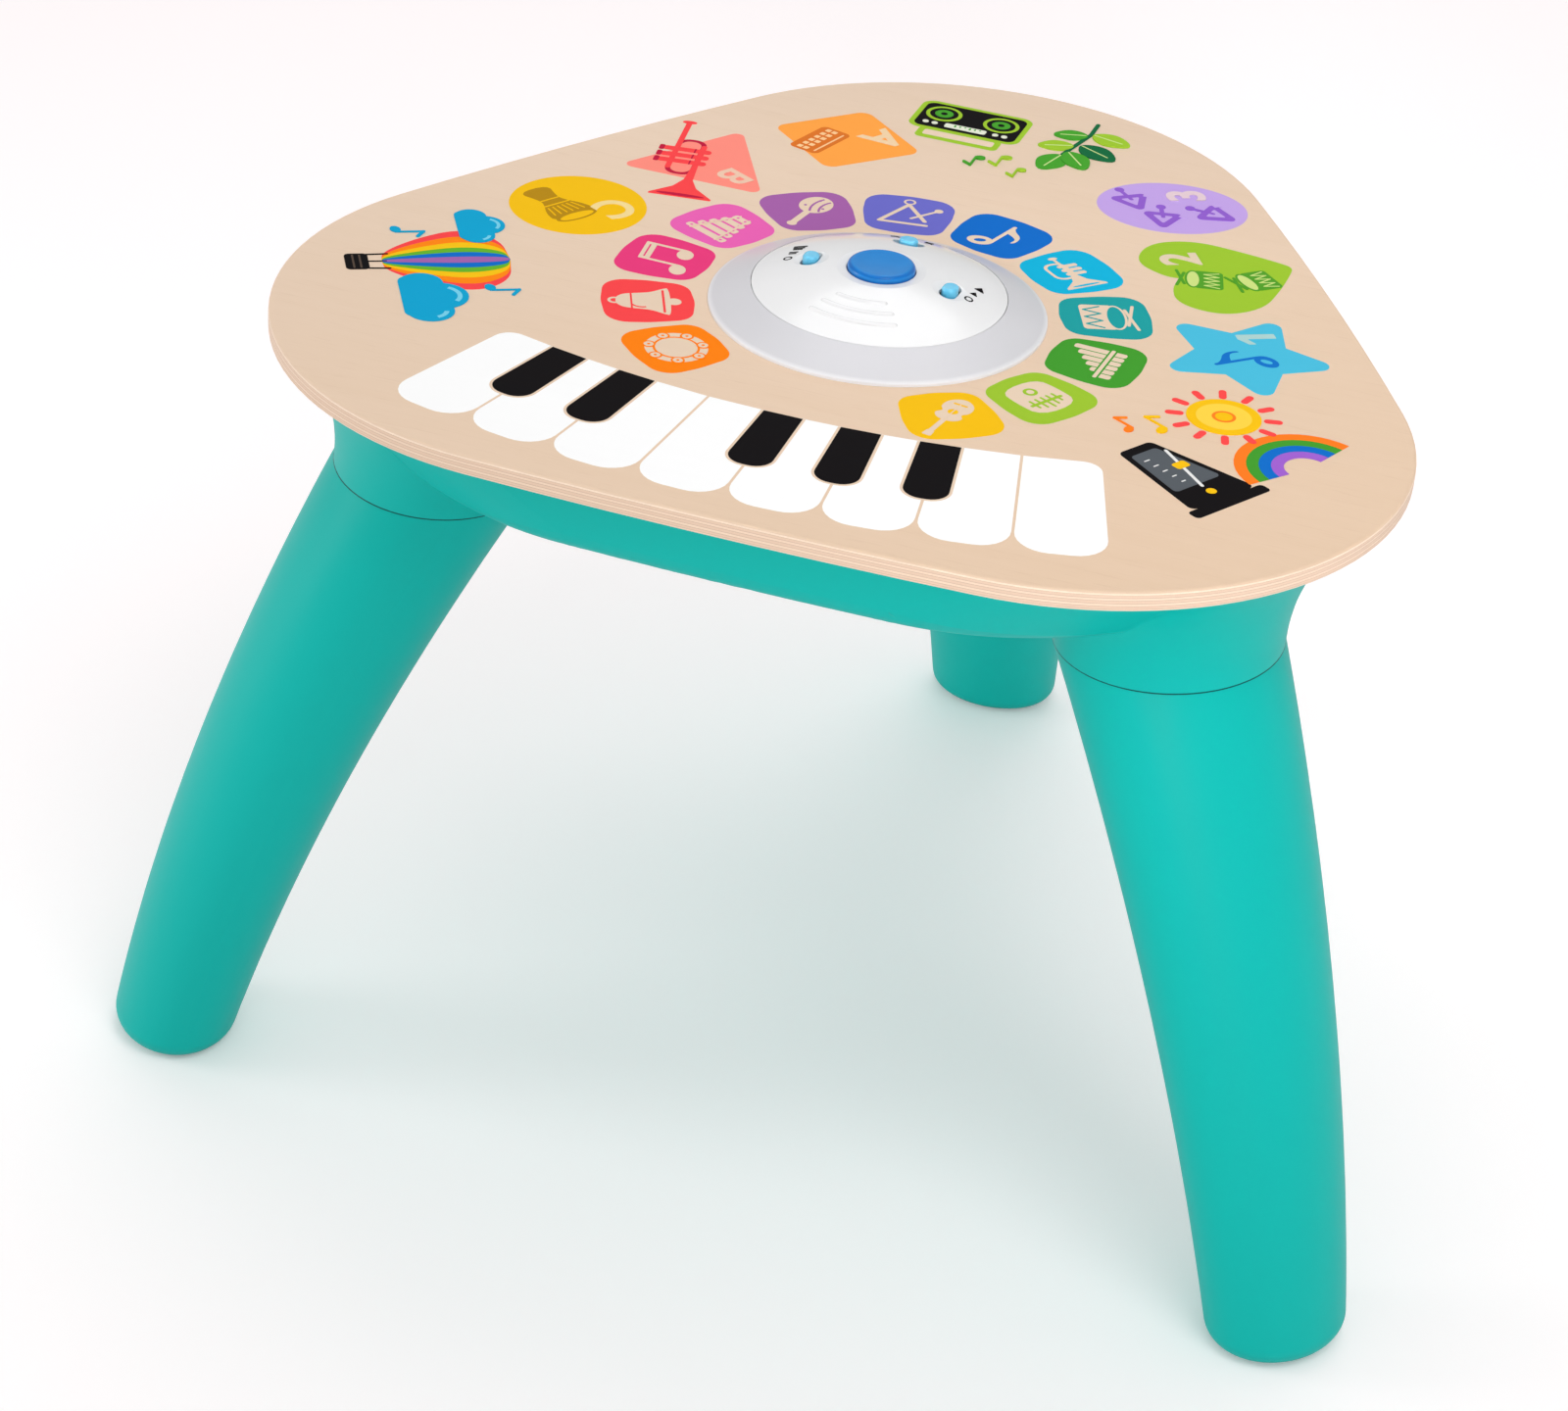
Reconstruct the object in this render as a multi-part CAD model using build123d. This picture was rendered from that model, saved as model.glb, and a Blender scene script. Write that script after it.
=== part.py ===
"""Musical activity table for toddlers: a plywood touch top on a moulded body with three legs.

Every solid is modelled about the axis of the control dome, which stands on the floor plane, in
millimetres, with +Z up and the keyboard side towards -Y. At the end the whole model is moved along Y,
so that its origin is the middle of its footprint on the floor.
"""
from build123d import *
import os
from math import asin, cos, degrees, floor, radians, sin, sqrt, tan

os.makedirs("parts", exist_ok=True)

# ---- the table top -------------------------------------------------------------------------------
TABLE_HEIGHT = 355.0
PLY_THICKNESS = 8.5
PLY_EDGE_ROUND = 1.4
CORNER_CENTRE = 112.0  # from the dome's axis to the centre of each corner's arc
CORNER_RADIUS = 144.0
SIDE_RADIUS = 2174.0  # the sides are almost straight
CORNER_ANGLES = {"front_left": 210.0, "front_right": 330.0, "back": 90.0}
SIDE_ANGLES = (270.0, 30.0, 150.0)
DOME_HOLE_CLEARANCE = 0.4

FILM_THICKNESS = 0.3
FILM_INSET = 18.0
FILM_TAIL_WIDTH = 12.0
FILM_BOSS_CLEARANCE = 1.0

# ---- the moulded body under the top --------------------------------------------------------------
BODY_WALL = 2.8
BODY_INSET = 10.0  # from the plywood's edge to the body's rim
BODY_DEPTH = 34.0
BODY_LOWER_ROUND = 13.0
LOWER_CORNER_CENTRE = 56.8
LOWER_CORNER_RADIUS = 155.2
SEAM_DROP = 25.5  # from the body's underside to the line where a leg meets its socket
FLARE_LOW_RISE = 13.0
FLARE_LOW_GROWTH = (0.3, 2.0)  # radial and tangential growth of the oval since the seam
FLARE_MIDDLE_RISE = 31.0
FLARE_MIDDLE_GROWTH = (3.5, 9.0)
FLARE_HIGH_DROP = 12.5  # below the rim
FLARE_HIGH_GROWTH = (10.5, 25.0)
FLARE_RIM_GROWTH = (20.5, 44.0)
FLARE_SHIFTS = (0.6, 1.0, 2.1, 3.0)  # the oval's centre has moved inwards at these four levels

# ---- legs ----------------------------------------------------------------------------------------
FOOT_DISTANCE = 298.9  # from the dome's axis to the leg's centre line at the floor
SEAM_DISTANCE = 185.03  # and at the seam
LEG_BOW = 10.43  # how far the centre line bows outwards halfway up
FOOT_HALF_DEPTH = 27.2  # radial half axis of the oval section at the floor
SEAM_HALF_DEPTH = 43.65
FOOT_HALF_WIDTH = 32.5  # tangential half axis
SEAM_HALF_WIDTH = 51.06
FOOT_ROUND = 8.7
LEG_WALL = 3.0
LEG_FLOOR = 4.0
LEG_SECTIONS = 7
SPIGOT_HEIGHT = 36.0
SPIGOT_WALL = 2.5
SPIGOT_CLEARANCE = 0.3
SOCKET_END_GAP = 2.0
CATCH_WIDTH = 12.0
CATCH_HEIGHT = 3.0
CATCH_REACH = 1.6
CATCH_DROP = 6.0  # from the spigot's top to the catch
CATCH_CLEARANCE = 0.5
PAD_THICKNESS = 2.4
PAD_PROUD = 0.8
PAD_MARGIN = 9.5  # from the leg's outline to the pad
PAD_CLEARANCE = 0.2

# ---- screws that hold the top on the body --------------------------------------------------------
TOP_SCREW_DISTANCE = 158.0
TOP_SCREW_SPREAD = 62.0
TOP_SCREW_SHANK = 1.6
TOP_SCREW_HEAD = 3.4
TOP_SCREW_HEAD_HEIGHT = 2.2
TOP_SCREW_BITE = 6.0  # depth of the screw in the plywood
TOP_BOSS_RADIUS = 6.6
TOP_BOSS_SEAT = 12.0  # from the body's underside to the face under the screw's head
SCREW_CLEARANCE = 0.3
DRIVE_RECESS_SHARE = 0.45  # of the head's radius and height

# ---- control dome --------------------------------------------------------------------------------
RING_OUTER_RADIUS = 72.2
RING_LIP_HEIGHT = 1.3
RING_THICKNESS = 2.4
RING_SLEEVE_RADIUS = 65.6
RING_SLEEVE_WALL = 2.6
RING_LEDGE_RADIUS = 51.5
RING_LEDGE_THICKNESS = 2.0
LUG_RADIUS = 4.0
LUG_DISTANCE = 60.0
LUG_HEIGHT = 11.0
CAP_RADIUS = 54.3
CAP_RIM_RISE = 9.2  # above the plywood
CAP_CROWN_RISE = 20.0
CAP_WALL = 2.2
CAP_SKIRT_WALL = 2.5
CAP_FIT = 0.3
CAP_POST_RADIUS = 3.5
CAP_POST_DISTANCE = 42.0
HOOK_WIDTH = 10.0
HOOK_THICKNESS = 1.8
HOOK_REACH = 1.2
HOOK_GAP = 0.3
WAVE_RADII = (29.5, 36.0, 42.5)
WAVE_HALF_SPREADS = (20.0, 24.0, 25.0)
WAVE_DIRECTION = 271.0
WAVE_BEAD = 1.5
WAVE_PROUD = 0.55
DOME_ANGLES = (30.0, 150.0, 270.0)
LUG_ANGLES = (90.0, 210.0, 330.0)

BASE_OUTER_RADIUS = 80.0
BASE_INNER_RADIUS = 36.0
BASE_THICKNESS = 3.0
DOME_SCREW_SHANK = 1.25
DOME_SCREW_HEAD = 2.6
DOME_SCREW_HEAD_HEIGHT = 1.8
DOME_SCREW_BITE = 7.0

# ---- push button and its rubber contact ----------------------------------------------------------
BUTTON_RADIUS = 14.5
BUTTON_GAP = 0.4
BUTTON_TOP_RISE = 1.4  # above the cap's crown
BUTTON_TOP_ROUND = 2.2
BUTTON_DISH_RADIUS = 12.0  # the shallow dish in the button's top
BUTTON_DISH_DEPTH = 0.6
BUTTON_WELL_RADIUS = 19.0  # the shallow dish in the cap round the button
BUTTON_WELL_DEPTH = 0.8
BUTTON_FLANGE_RADIUS = 16.8
BUTTON_FLANGE_THICKNESS = 1.2
BUTTON_STEM_RADIUS = 4.0
BUTTON_WALL = 1.8
BUTTON_STEM_LENGTH = 7.4  # from the flange's underside to the rubber contact
BUTTON_TRAVEL = 1.5
CONTACT_PRESSED_HEIGHT = 2.5
CONTACT_BASE_RADIUS = 6.5
CONTACT_TOP_RADIUS = 3.4
CONTACT_FLANGE = 0.8

# ---- circuit board in the dome, its lamps and slide switches -------------------------------------
DOME_BOARD_RADIUS = 47.0
BOARD_THICKNESS = 1.6
LAMP_COUNT = 12
LAMP_DISTANCE = 44.4
LAMP_SIZE = (3.5, 2.8, 1.4)
BOARD_SCREW_SHANK = 1.1
BOARD_SCREW_HEAD = 2.2
BOARD_SCREW_HEAD_HEIGHT = 1.4
BOARD_SCREW_BITE = 4.5

SLIDER_PLACES = {"left_slider": (31.2, 180.0), "back_slider": (38.0, 89.5), "right_slider": (31.2, 356.5)}
SLIDER_TRAVEL = 2.5  # each way from the middle position
KNOB_LENGTH = 8.4  # along its travel
KNOB_WIDTH = 6.8
KNOB_RISE = 1.9  # above the cap's face
KNOB_TOP_ROUND = 1.3
KNOB_GAP = 0.35
KNOB_FLANGE_WIDTH = 10.5
KNOB_FLANGE_OVERLAP = 1.2
KNOB_FLANGE_THICKNESS = 1.0
KNOB_DISH_RADIUS = 9.0  # the shallow dish in the cap round each knob
KNOB_DISH_DEPTH = 0.8
LEVER_SIZE = (2.0, 1.8)
LEVER_GAP = 0.3
SWITCH_LENGTH = 14.0
SWITCH_WIDTH = 7.0
SWITCH_HEIGHT = 4.2
SWITCH_FLOOR = 1.2
LEVER_FOOT_GAP = 0.4

# ---- main board ----------------------------------------------------------------------------------
MAIN_BOARD_CENTRE = (-92.0, 28.0)
MAIN_BOARD_SIZE = (52.0, 72.0)
MAIN_BOARD_POST_HEIGHT = 7.0
MAIN_BOARD_POST_RADIUS = 3.2
MAIN_BOARD_HOLE_MARGIN = 4.0
SOCKET_SIZE = (10.0, 6.0, 5.0)
CHIP_RADIUS = 9.0
CHIP_HEIGHT = 2.0

# ---- loudspeaker ---------------------------------------------------------------------------------
SPEAKER_CENTRE = (0.0, -82.0)
SPEAKER_RADIUS = 33.0
SPEAKER_FLANGE = 1.6
SPEAKER_BASKET_HEIGHT = 13.0
SPEAKER_BASKET_WALL = 1.0
SPEAKER_NECK_RADIUS = 14.0
MAGNET_RADIUS = 19.0
MAGNET_HEIGHT = 7.0
CONE_OUTER_RADIUS = 29.0
CONE_INNER_RADIUS = 9.0
CONE_DEPTH = 7.0
CONE_SHEET = 0.6
GRILLE_HOLE_RADIUS = 1.9
GRILLE_PITCH = 7.0
GRILLE_RADIUS = 25.0
SPEAKER_POST_RADIUS = 3.2
SPEAKER_WASHER = 1.0
SPEAKER_POST_GAP = 0.4
SPEAKER_POST_ANGLES = (45.0, 135.0, 225.0, 315.0)

# ---- battery compartment and its door ------------------------------------------------------------
CELL_COUNT = 3
CELL_RADIUS = 7.1
CELL_LENGTH = 49.5
CELL_NUB_RADIUS = 2.7
CELL_NUB_LENGTH = 1.0
CELL_PITCH = 15.0
CELL_MARGIN = 0.9
SPRING_LENGTH = 4.6
SPRING_RADIUS = 3.2
SPRING_WIRE = 0.35
SPRING_TURNS = 4
PLATE_THICKNESS = 0.4
PLATE_SIZE = (11.0, 11.0)
BATTERY_CENTRE_Y = 62.0
BATTERY_WALL = 2.0
BATTERY_HEADROOM = 0.8
DOOR_THICKNESS = 2.4
DOOR_LEDGE = 5.2  # how far the door reaches past the compartment on its long sides
DOOR_HINGE_LEDGE = 10.0
DOOR_SCREW_LEDGE = 10.0
DOOR_GAP = 0.4
DOOR_SEAT_GAP = 0.2
LEDGE_THICKNESS = 2.9
LEDGE_BORDER = 3.0
TAB_WIDTH = 9.0
TAB_SPREAD = 20.0
TAB_REACH = 3.0
TAB_THICKNESS = 2.4
TAB_ROOT = 2.5
TAB_ROOT_BEHIND = 1.0  # how far a tab's root starts behind the hinge axis
TAB_LIFT = 0.6  # above the body's floor
DOOR_SCREW_SHANK = 1.5
DOOR_SCREW_HEAD = 3.7
DOOR_SCREW_HEAD_HEIGHT = 1.2
DOOR_SCREW_LENGTH = 6.0
DOOR_SCREW_EDGE = 5.2  # from the door's edge to the screw
DOOR_SCREW_PLAY = 0.45
DOOR_SCREW_BOSS = 5.0
DOOR_SCREW_SLOT = (1.0, 0.6)

# ---- wires ---------------------------------------------------------------------------------------
LEAD_RADIUS = 1.4
DOME_LEAD_START = (-22.0, 14.0)

# ---- levels and places worked out from the sizes above -------------------------------------------
PLY_BOTTOM = TABLE_HEIGHT - PLY_THICKNESS
BODY_BOTTOM = PLY_BOTTOM - BODY_DEPTH
BODY_FLOOR = BODY_BOTTOM + BODY_WALL
SEAM_HEIGHT = BODY_BOTTOM - SEAM_DROP
RIM_Z = TABLE_HEIGHT + CAP_RIM_RISE
CROWN_Z = TABLE_HEIGHT + CAP_CROWN_RISE
CAP_SPHERE = (CAP_RADIUS**2 + (CROWN_Z - RIM_Z) ** 2) / (2 * (CROWN_Z - RIM_Z))
CAP_CENTRE_Z = CROWN_Z - CAP_SPHERE
DOME_HOLE_RADIUS = RING_SLEEVE_RADIUS + DOME_HOLE_CLEARANCE
LEDGE_TOP_Z = RIM_Z - CAP_SKIRT_WALL
LEDGE_BOTTOM_Z = LEDGE_TOP_Z - RING_LEDGE_THICKNESS


def cap_outside(distance):
    """Height of the cap's outer face at a distance from the axis."""
    return CAP_CENTRE_Z + sqrt(CAP_SPHERE**2 - distance**2)


def cap_inside(distance):
    """Height of the cap's inner face at a distance from the axis."""
    return CAP_CENTRE_Z + sqrt((CAP_SPHERE - CAP_WALL) ** 2 - distance**2)


BUTTON_FLANGE_TOP = cap_inside(BUTTON_FLANGE_RADIUS) - CAP_FIT
BUTTON_FLANGE_BOTTOM = BUTTON_FLANGE_TOP - BUTTON_FLANGE_THICKNESS
CONTACT_HEIGHT = CONTACT_PRESSED_HEIGHT + BUTTON_TRAVEL
DOME_BOARD_TOP = BUTTON_FLANGE_BOTTOM - BUTTON_STEM_LENGTH - CONTACT_HEIGHT
DOME_BOARD_BOTTOM = DOME_BOARD_TOP - BOARD_THICKNESS
CONTACT_TOP = DOME_BOARD_TOP + CONTACT_HEIGHT
SLOT_LENGTH = KNOB_LENGTH + 2 * SLIDER_TRAVEL + 2 * KNOB_GAP
KNOB_FLANGE_LENGTH = SLOT_LENGTH + 2 * SLIDER_TRAVEL + 2 * KNOB_FLANGE_OVERLAP
SLIDER_OUTERMOST = max(distance for distance, angle in SLIDER_PLACES.values())
KNOB_FLANGE_CORNER = sqrt((SLIDER_OUTERMOST + KNOB_FLANGE_WIDTH / 2) ** 2
                          + (KNOB_FLANGE_LENGTH / 2 + SLIDER_TRAVEL) ** 2)
KNOB_FLANGE_TOP = cap_inside(KNOB_FLANGE_CORNER) - CAP_FIT
KNOB_FLANGE_BOTTOM = KNOB_FLANGE_TOP - KNOB_FLANGE_THICKNESS

DOOR_TOP = BODY_BOTTOM + DOOR_THICKNESS
RECESS_TOP = DOOR_TOP + DOOR_SEAT_GAP
LEDGE_TOP = RECESS_TOP + LEDGE_THICKNESS
CELL_Z = LEDGE_TOP - CELL_MARGIN + CELL_RADIUS
CELL_SPACE = 2 * PLATE_THICKNESS + SPRING_LENGTH + CELL_LENGTH + CELL_NUB_LENGTH
CELL_ROWS = (CELL_COUNT - 1) * CELL_PITCH + 2 * CELL_RADIUS + 2 * CELL_MARGIN
CHAMBER_TOP = CELL_Z + CELL_RADIUS + BATTERY_HEADROOM
CHAMBER_LOW_Y = BATTERY_CENTRE_Y - CELL_ROWS / 2
CHAMBER_HIGH_Y = BATTERY_CENTRE_Y + CELL_ROWS / 2
DOOR_LOW_Y = CHAMBER_LOW_Y - DOOR_HINGE_LEDGE
DOOR_HIGH_Y = CHAMBER_HIGH_Y + DOOR_SCREW_LEDGE
DOOR_HALF_WIDTH = CELL_SPACE / 2 + DOOR_LEDGE
DOOR_SCREW_Y = DOOR_HIGH_Y - DOOR_SCREW_EDGE
TAB_LOW = BODY_FLOOR + TAB_LIFT
TAB_HIGH = TAB_LOW + TAB_THICKNESS
HINGE_Y = DOOR_LOW_Y + DOOR_THICKNESS / 2  # the door turns about its rounded edge
HINGE_Z = BODY_BOTTOM + DOOR_THICKNESS / 2
TAB_SWEEP = sqrt((TAB_ROOT - TAB_ROOT_BEHIND) ** 2 + (TAB_HIGH - HINGE_Z) ** 2) + 2 * DOOR_GAP

MAIN_BOARD_BOTTOM = BODY_FLOOR + MAIN_BOARD_POST_HEIGHT
MAIN_BOARD_TOP = MAIN_BOARD_BOTTOM + BOARD_THICKNESS
SOCKET_TOP = MAIN_BOARD_TOP + SOCKET_SIZE[2]
BOARD_SOCKETS = {
    "film": (MAIN_BOARD_CENTRE[0] - 12.0, MAIN_BOARD_CENTRE[1] + 30.0),
    "dome": (MAIN_BOARD_CENTRE[0] + 18.0, MAIN_BOARD_CENTRE[1] - 4.0),
    "speaker": (MAIN_BOARD_CENTRE[0] + 18.0, MAIN_BOARD_CENTRE[1] - 24.0),
    "battery": (MAIN_BOARD_CENTRE[0] + 18.0, MAIN_BOARD_CENTRE[1] + 20.0),
}


# ---- small helpers -------------------------------------------------------------------------------
def polar(distance, angle, z=0.0):
    return Vector(distance * cos(radians(angle)), distance * sin(radians(angle)), z)


def rod(x, y, z_low, z_high, radius):
    """An upright cylinder between two levels."""
    return Pos(x, y, z_low) * extrude(Circle(radius), z_high - z_low)


def block(x, y, z_low, size_x, size_y, size_z):
    """A box centred on x, y that stands on z_low."""
    return Pos(x, y, z_low + size_z / 2) * Box(size_x, size_y, size_z)


def span(x_low, x_high, y_low, y_high, z_low, z_high):
    """A box between three pairs of levels."""
    middle = Pos((x_low + x_high) / 2, (y_low + y_high) / 2, (z_low + z_high) / 2)
    return middle * Box(x_high - x_low, y_high - y_low, z_high - z_low)


def pan_screw(z_seat, shank_radius, head_radius, head_height, length):
    """A pan-head screw on the Z axis, head down: its head's upper face is at z_seat."""
    head = rod(0, 0, z_seat - head_height, z_seat, head_radius)
    head = fillet(head.edges().group_by(Axis.Z)[0], head_height * 0.35)
    shank = rod(0, 0, z_seat, z_seat + length, shank_radius)
    shank = chamfer(shank.edges().group_by(Axis.Z)[-1], shank_radius * 0.5)
    recess = rod(0, 0, z_seat - head_height, z_seat - head_height * (1 - DRIVE_RECESS_SHARE),
                 head_radius * DRIVE_RECESS_SHARE)
    return head + shank - recess


def rounded_triangle(centre, radius, inset=0.0):
    """The table's outline as a face: three corner arcs joined by three shallow side arcs."""
    corner_r = radius - inset
    side_r = SIDE_RADIUS - inset
    half = centre * cos(radians(30))
    back = centre * sin(radians(30))
    side_offset = sqrt((SIDE_RADIUS - radius) ** 2 - half**2) - back
    edges = []
    for angle in CORNER_ANGLES.values():
        corner = polar(centre, angle)
        starts = []
        for side in (angle - 60, angle + 60):
            side_centre = polar(-side_offset, side)
            starts.append(side_centre + (corner - side_centre).normalized() * side_r)
        edges.append(ThreePointArc(starts[0], polar(centre + corner_r, angle), starts[1]))
        side_centre = polar(-side_offset, angle + 60)
        next_corner = polar(centre, angle + 120)
        side_end = side_centre + (next_corner - side_centre).normalized() * side_r
        edges.append(ThreePointArc(starts[1], polar(side_r - side_offset, angle + 60), side_end))
    return make_face(edges)


def outline_prism(inset, z_low, z_high):
    face = rounded_triangle(CORNER_CENTRE, CORNER_RADIUS, inset)
    return Pos(0, 0, z_low) * extrude(face, z_high - z_low)


def top_screw_places():
    places = []
    for side in SIDE_ANGLES:
        for shift in (-TOP_SCREW_SPREAD, TOP_SCREW_SPREAD):
            point = polar(TOP_SCREW_DISTANCE, side) + polar(shift, side + 90)
            places.append((point.X, point.Y))
    return places


# ---- table top -----------------------------------------------------------------------------------
def make_plywood_top():
    board = outline_prism(0, PLY_BOTTOM, TABLE_HEIGHT)
    board = fillet(board.edges(), PLY_EDGE_ROUND)
    board -= rod(0, 0, PLY_BOTTOM, TABLE_HEIGHT, DOME_HOLE_RADIUS)
    for x, y in top_screw_places():
        board -= rod(x, y, PLY_BOTTOM, PLY_BOTTOM + TOP_SCREW_BITE, TOP_SCREW_SHANK)
    return board


def make_touch_film():
    film = outline_prism(FILM_INSET, PLY_BOTTOM - FILM_THICKNESS, PLY_BOTTOM)
    film -= rod(0, 0, PLY_BOTTOM - FILM_THICKNESS, PLY_BOTTOM, BASE_OUTER_RADIUS + FILM_BOSS_CLEARANCE)
    for x, y in top_screw_places():
        film -= rod(x, y, PLY_BOTTOM - FILM_THICKNESS, PLY_BOTTOM, TOP_BOSS_RADIUS + FILM_BOSS_CLEARANCE)
    x, y = BOARD_SOCKETS["film"]
    tail = block(x, y, SOCKET_TOP, FILM_TAIL_WIDTH, FILM_THICKNESS, PLY_BOTTOM - SOCKET_TOP)
    return film + tail


# ---- legs ----------------------------------------------------------------------------------------
def leg_section(z):
    """Distance from the axis, radial half axis and tangential half axis of the leg at a height."""
    part = z / SEAM_HEIGHT
    bow = LEG_BOW * 4 * part * (1 - part)
    distance = FOOT_DISTANCE + (SEAM_DISTANCE - FOOT_DISTANCE) * part + bow
    half_depth = FOOT_HALF_DEPTH + (SEAM_HALF_DEPTH - FOOT_HALF_DEPTH) * part
    half_width = FOOT_HALF_WIDTH + (SEAM_HALF_WIDTH - FOOT_HALF_WIDTH) * part
    return distance, half_depth, half_width


FOOT_SECTION = leg_section(PAD_PROUD)
BORE_HALF_DEPTH = SEAM_HALF_DEPTH - BODY_WALL
BORE_HALF_WIDTH = SEAM_HALF_WIDTH - BODY_WALL
SPIGOT_TOP = SEAM_HEIGHT + SPIGOT_HEIGHT
BORE_TOP = SPIGOT_TOP + SOCKET_END_GAP


def oval_prism(distance, half_depth, half_width, z_low, z_high):
    return Pos(distance, 0, z_low) * extrude(Ellipse(half_depth, half_width), z_high - z_low)


def leg_loft(z_low, z_high, inset_low, inset_high):
    sections = []
    for step in range(LEG_SECTIONS):
        part = step / (LEG_SECTIONS - 1)
        z = z_low + (z_high - z_low) * part
        inset = inset_low + (inset_high - inset_low) * part
        distance, half_depth, half_width = leg_section(z)
        sections.append(Pos(distance, 0, z) * Ellipse(half_depth - inset, half_width - inset))
    return loft(sections)


def spigot_catch(grow, z_grow):
    """The catch on the spigot's side towards the table's middle, or the window for it."""
    z_high = SPIGOT_TOP - CATCH_DROP + z_grow
    z_low = z_high - CATCH_HEIGHT - 2 * z_grow
    face = SEAM_DISTANCE - BORE_HALF_DEPTH + SPIGOT_CLEARANCE
    half = CATCH_WIDTH / 2 + z_grow
    return span(face - CATCH_REACH - grow, face + SPIGOT_WALL / 2, -half, half, z_low, z_high)


def make_leg():
    """One leg in the plane of +X: a hollow oval shell that leans outwards, with a spigot on top."""
    shell = leg_loft(PAD_PROUD, SEAM_HEIGHT, 0, 0)
    shell = fillet(shell.edges().group_by(Axis.Z)[0], FOOT_ROUND)
    spigot_depth = BORE_HALF_DEPTH - SPIGOT_CLEARANCE
    spigot_width = BORE_HALF_WIDTH - SPIGOT_CLEARANCE
    shell += oval_prism(SEAM_DISTANCE, spigot_depth, spigot_width, SEAM_HEIGHT, SPIGOT_TOP)
    shell += spigot_catch(0, 0)
    neck_wall = SEAM_HALF_DEPTH - spigot_depth + SPIGOT_WALL
    cavity = leg_loft(PAD_PROUD + LEG_FLOOR, SEAM_HEIGHT, LEG_WALL, neck_wall)
    bore = oval_prism(SEAM_DISTANCE, spigot_depth - SPIGOT_WALL, spigot_width - SPIGOT_WALL,
                      SEAM_HEIGHT, SPIGOT_TOP)
    shell = shell - cavity - bore
    distance, half_depth, half_width = FOOT_SECTION
    pocket_depth = half_depth - PAD_MARGIN + PAD_CLEARANCE
    pocket_width = half_width - PAD_MARGIN + PAD_CLEARANCE
    return shell - oval_prism(distance, pocket_depth, pocket_width, PAD_PROUD, PAD_THICKNESS)


def make_foot_pad():
    distance, half_depth, half_width = FOOT_SECTION
    return oval_prism(distance, half_depth - PAD_MARGIN, half_width - PAD_MARGIN, 0, PAD_THICKNESS)


# ---- moulded body --------------------------------------------------------------------------------
def corner_flare():
    """The trumpet from a leg's oval seam up to the body's rim, in the plane of +X."""
    levels = [
        (SEAM_HEIGHT, (0, 0)),
        (SEAM_HEIGHT + FLARE_LOW_RISE, FLARE_LOW_GROWTH),
        (SEAM_HEIGHT + FLARE_MIDDLE_RISE, FLARE_MIDDLE_GROWTH),
        (PLY_BOTTOM - FLARE_HIGH_DROP, FLARE_HIGH_GROWTH),
        (PLY_BOTTOM, FLARE_RIM_GROWTH),
    ]
    sections = []
    for (z, (deeper, wider)), shift in zip(levels, (0, *FLARE_SHIFTS)):
        place = Pos(SEAM_DISTANCE - shift, 0, z)
        sections.append(place * Ellipse(SEAM_HALF_DEPTH + deeper, SEAM_HALF_WIDTH + wider))
    return loft(sections)


def tray(inset, z_low):
    """The body's bowl between its rim and a lower level, as a solid."""
    upper = Pos(0, 0, PLY_BOTTOM) * rounded_triangle(CORNER_CENTRE, CORNER_RADIUS, BODY_INSET + inset)
    lower = Pos(0, 0, z_low) * rounded_triangle(LOWER_CORNER_CENTRE, LOWER_CORNER_RADIUS, inset)
    bowl = loft([upper, lower], ruled=True)
    return fillet(bowl.edges().group_by(Axis.Z)[0], BODY_LOWER_ROUND - inset)


def grille_places():
    places = []
    rows = floor(GRILLE_RADIUS / (GRILLE_PITCH * sin(radians(60))))
    columns = floor(GRILLE_RADIUS / GRILLE_PITCH) + 1
    for row in range(-rows, rows + 1):
        for column in range(-columns, columns + 1):
            x = (column + (row % 2) / 2) * GRILLE_PITCH
            y = row * GRILLE_PITCH * sin(radians(60))
            if sqrt(x * x + y * y) <= GRILLE_RADIUS:
                places.append((SPEAKER_CENTRE[0] + x, SPEAKER_CENTRE[1] + y))
    return places


def speaker_post_places():
    reach = SPEAKER_RADIUS + SPEAKER_POST_GAP + SPEAKER_POST_RADIUS
    places = []
    for angle in SPEAKER_POST_ANGLES:
        point = polar(reach, angle)
        places.append((SPEAKER_CENTRE[0] + point.X, SPEAKER_CENTRE[1] + point.Y))
    return places


def main_board_post_places():
    x_reach = MAIN_BOARD_SIZE[0] / 2 - MAIN_BOARD_HOLE_MARGIN
    y_reach = MAIN_BOARD_SIZE[1] / 2 - MAIN_BOARD_HOLE_MARGIN
    places = []
    for x_side in (-1, 1):
        for y_side in (-1, 1):
            x = MAIN_BOARD_CENTRE[0] + x_side * x_reach
            y = MAIN_BOARD_CENTRE[1] + y_side * y_reach
            places.append((x, y))
    return places


def tab_places():
    return (-TAB_SPREAD, TAB_SPREAD)


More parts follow.
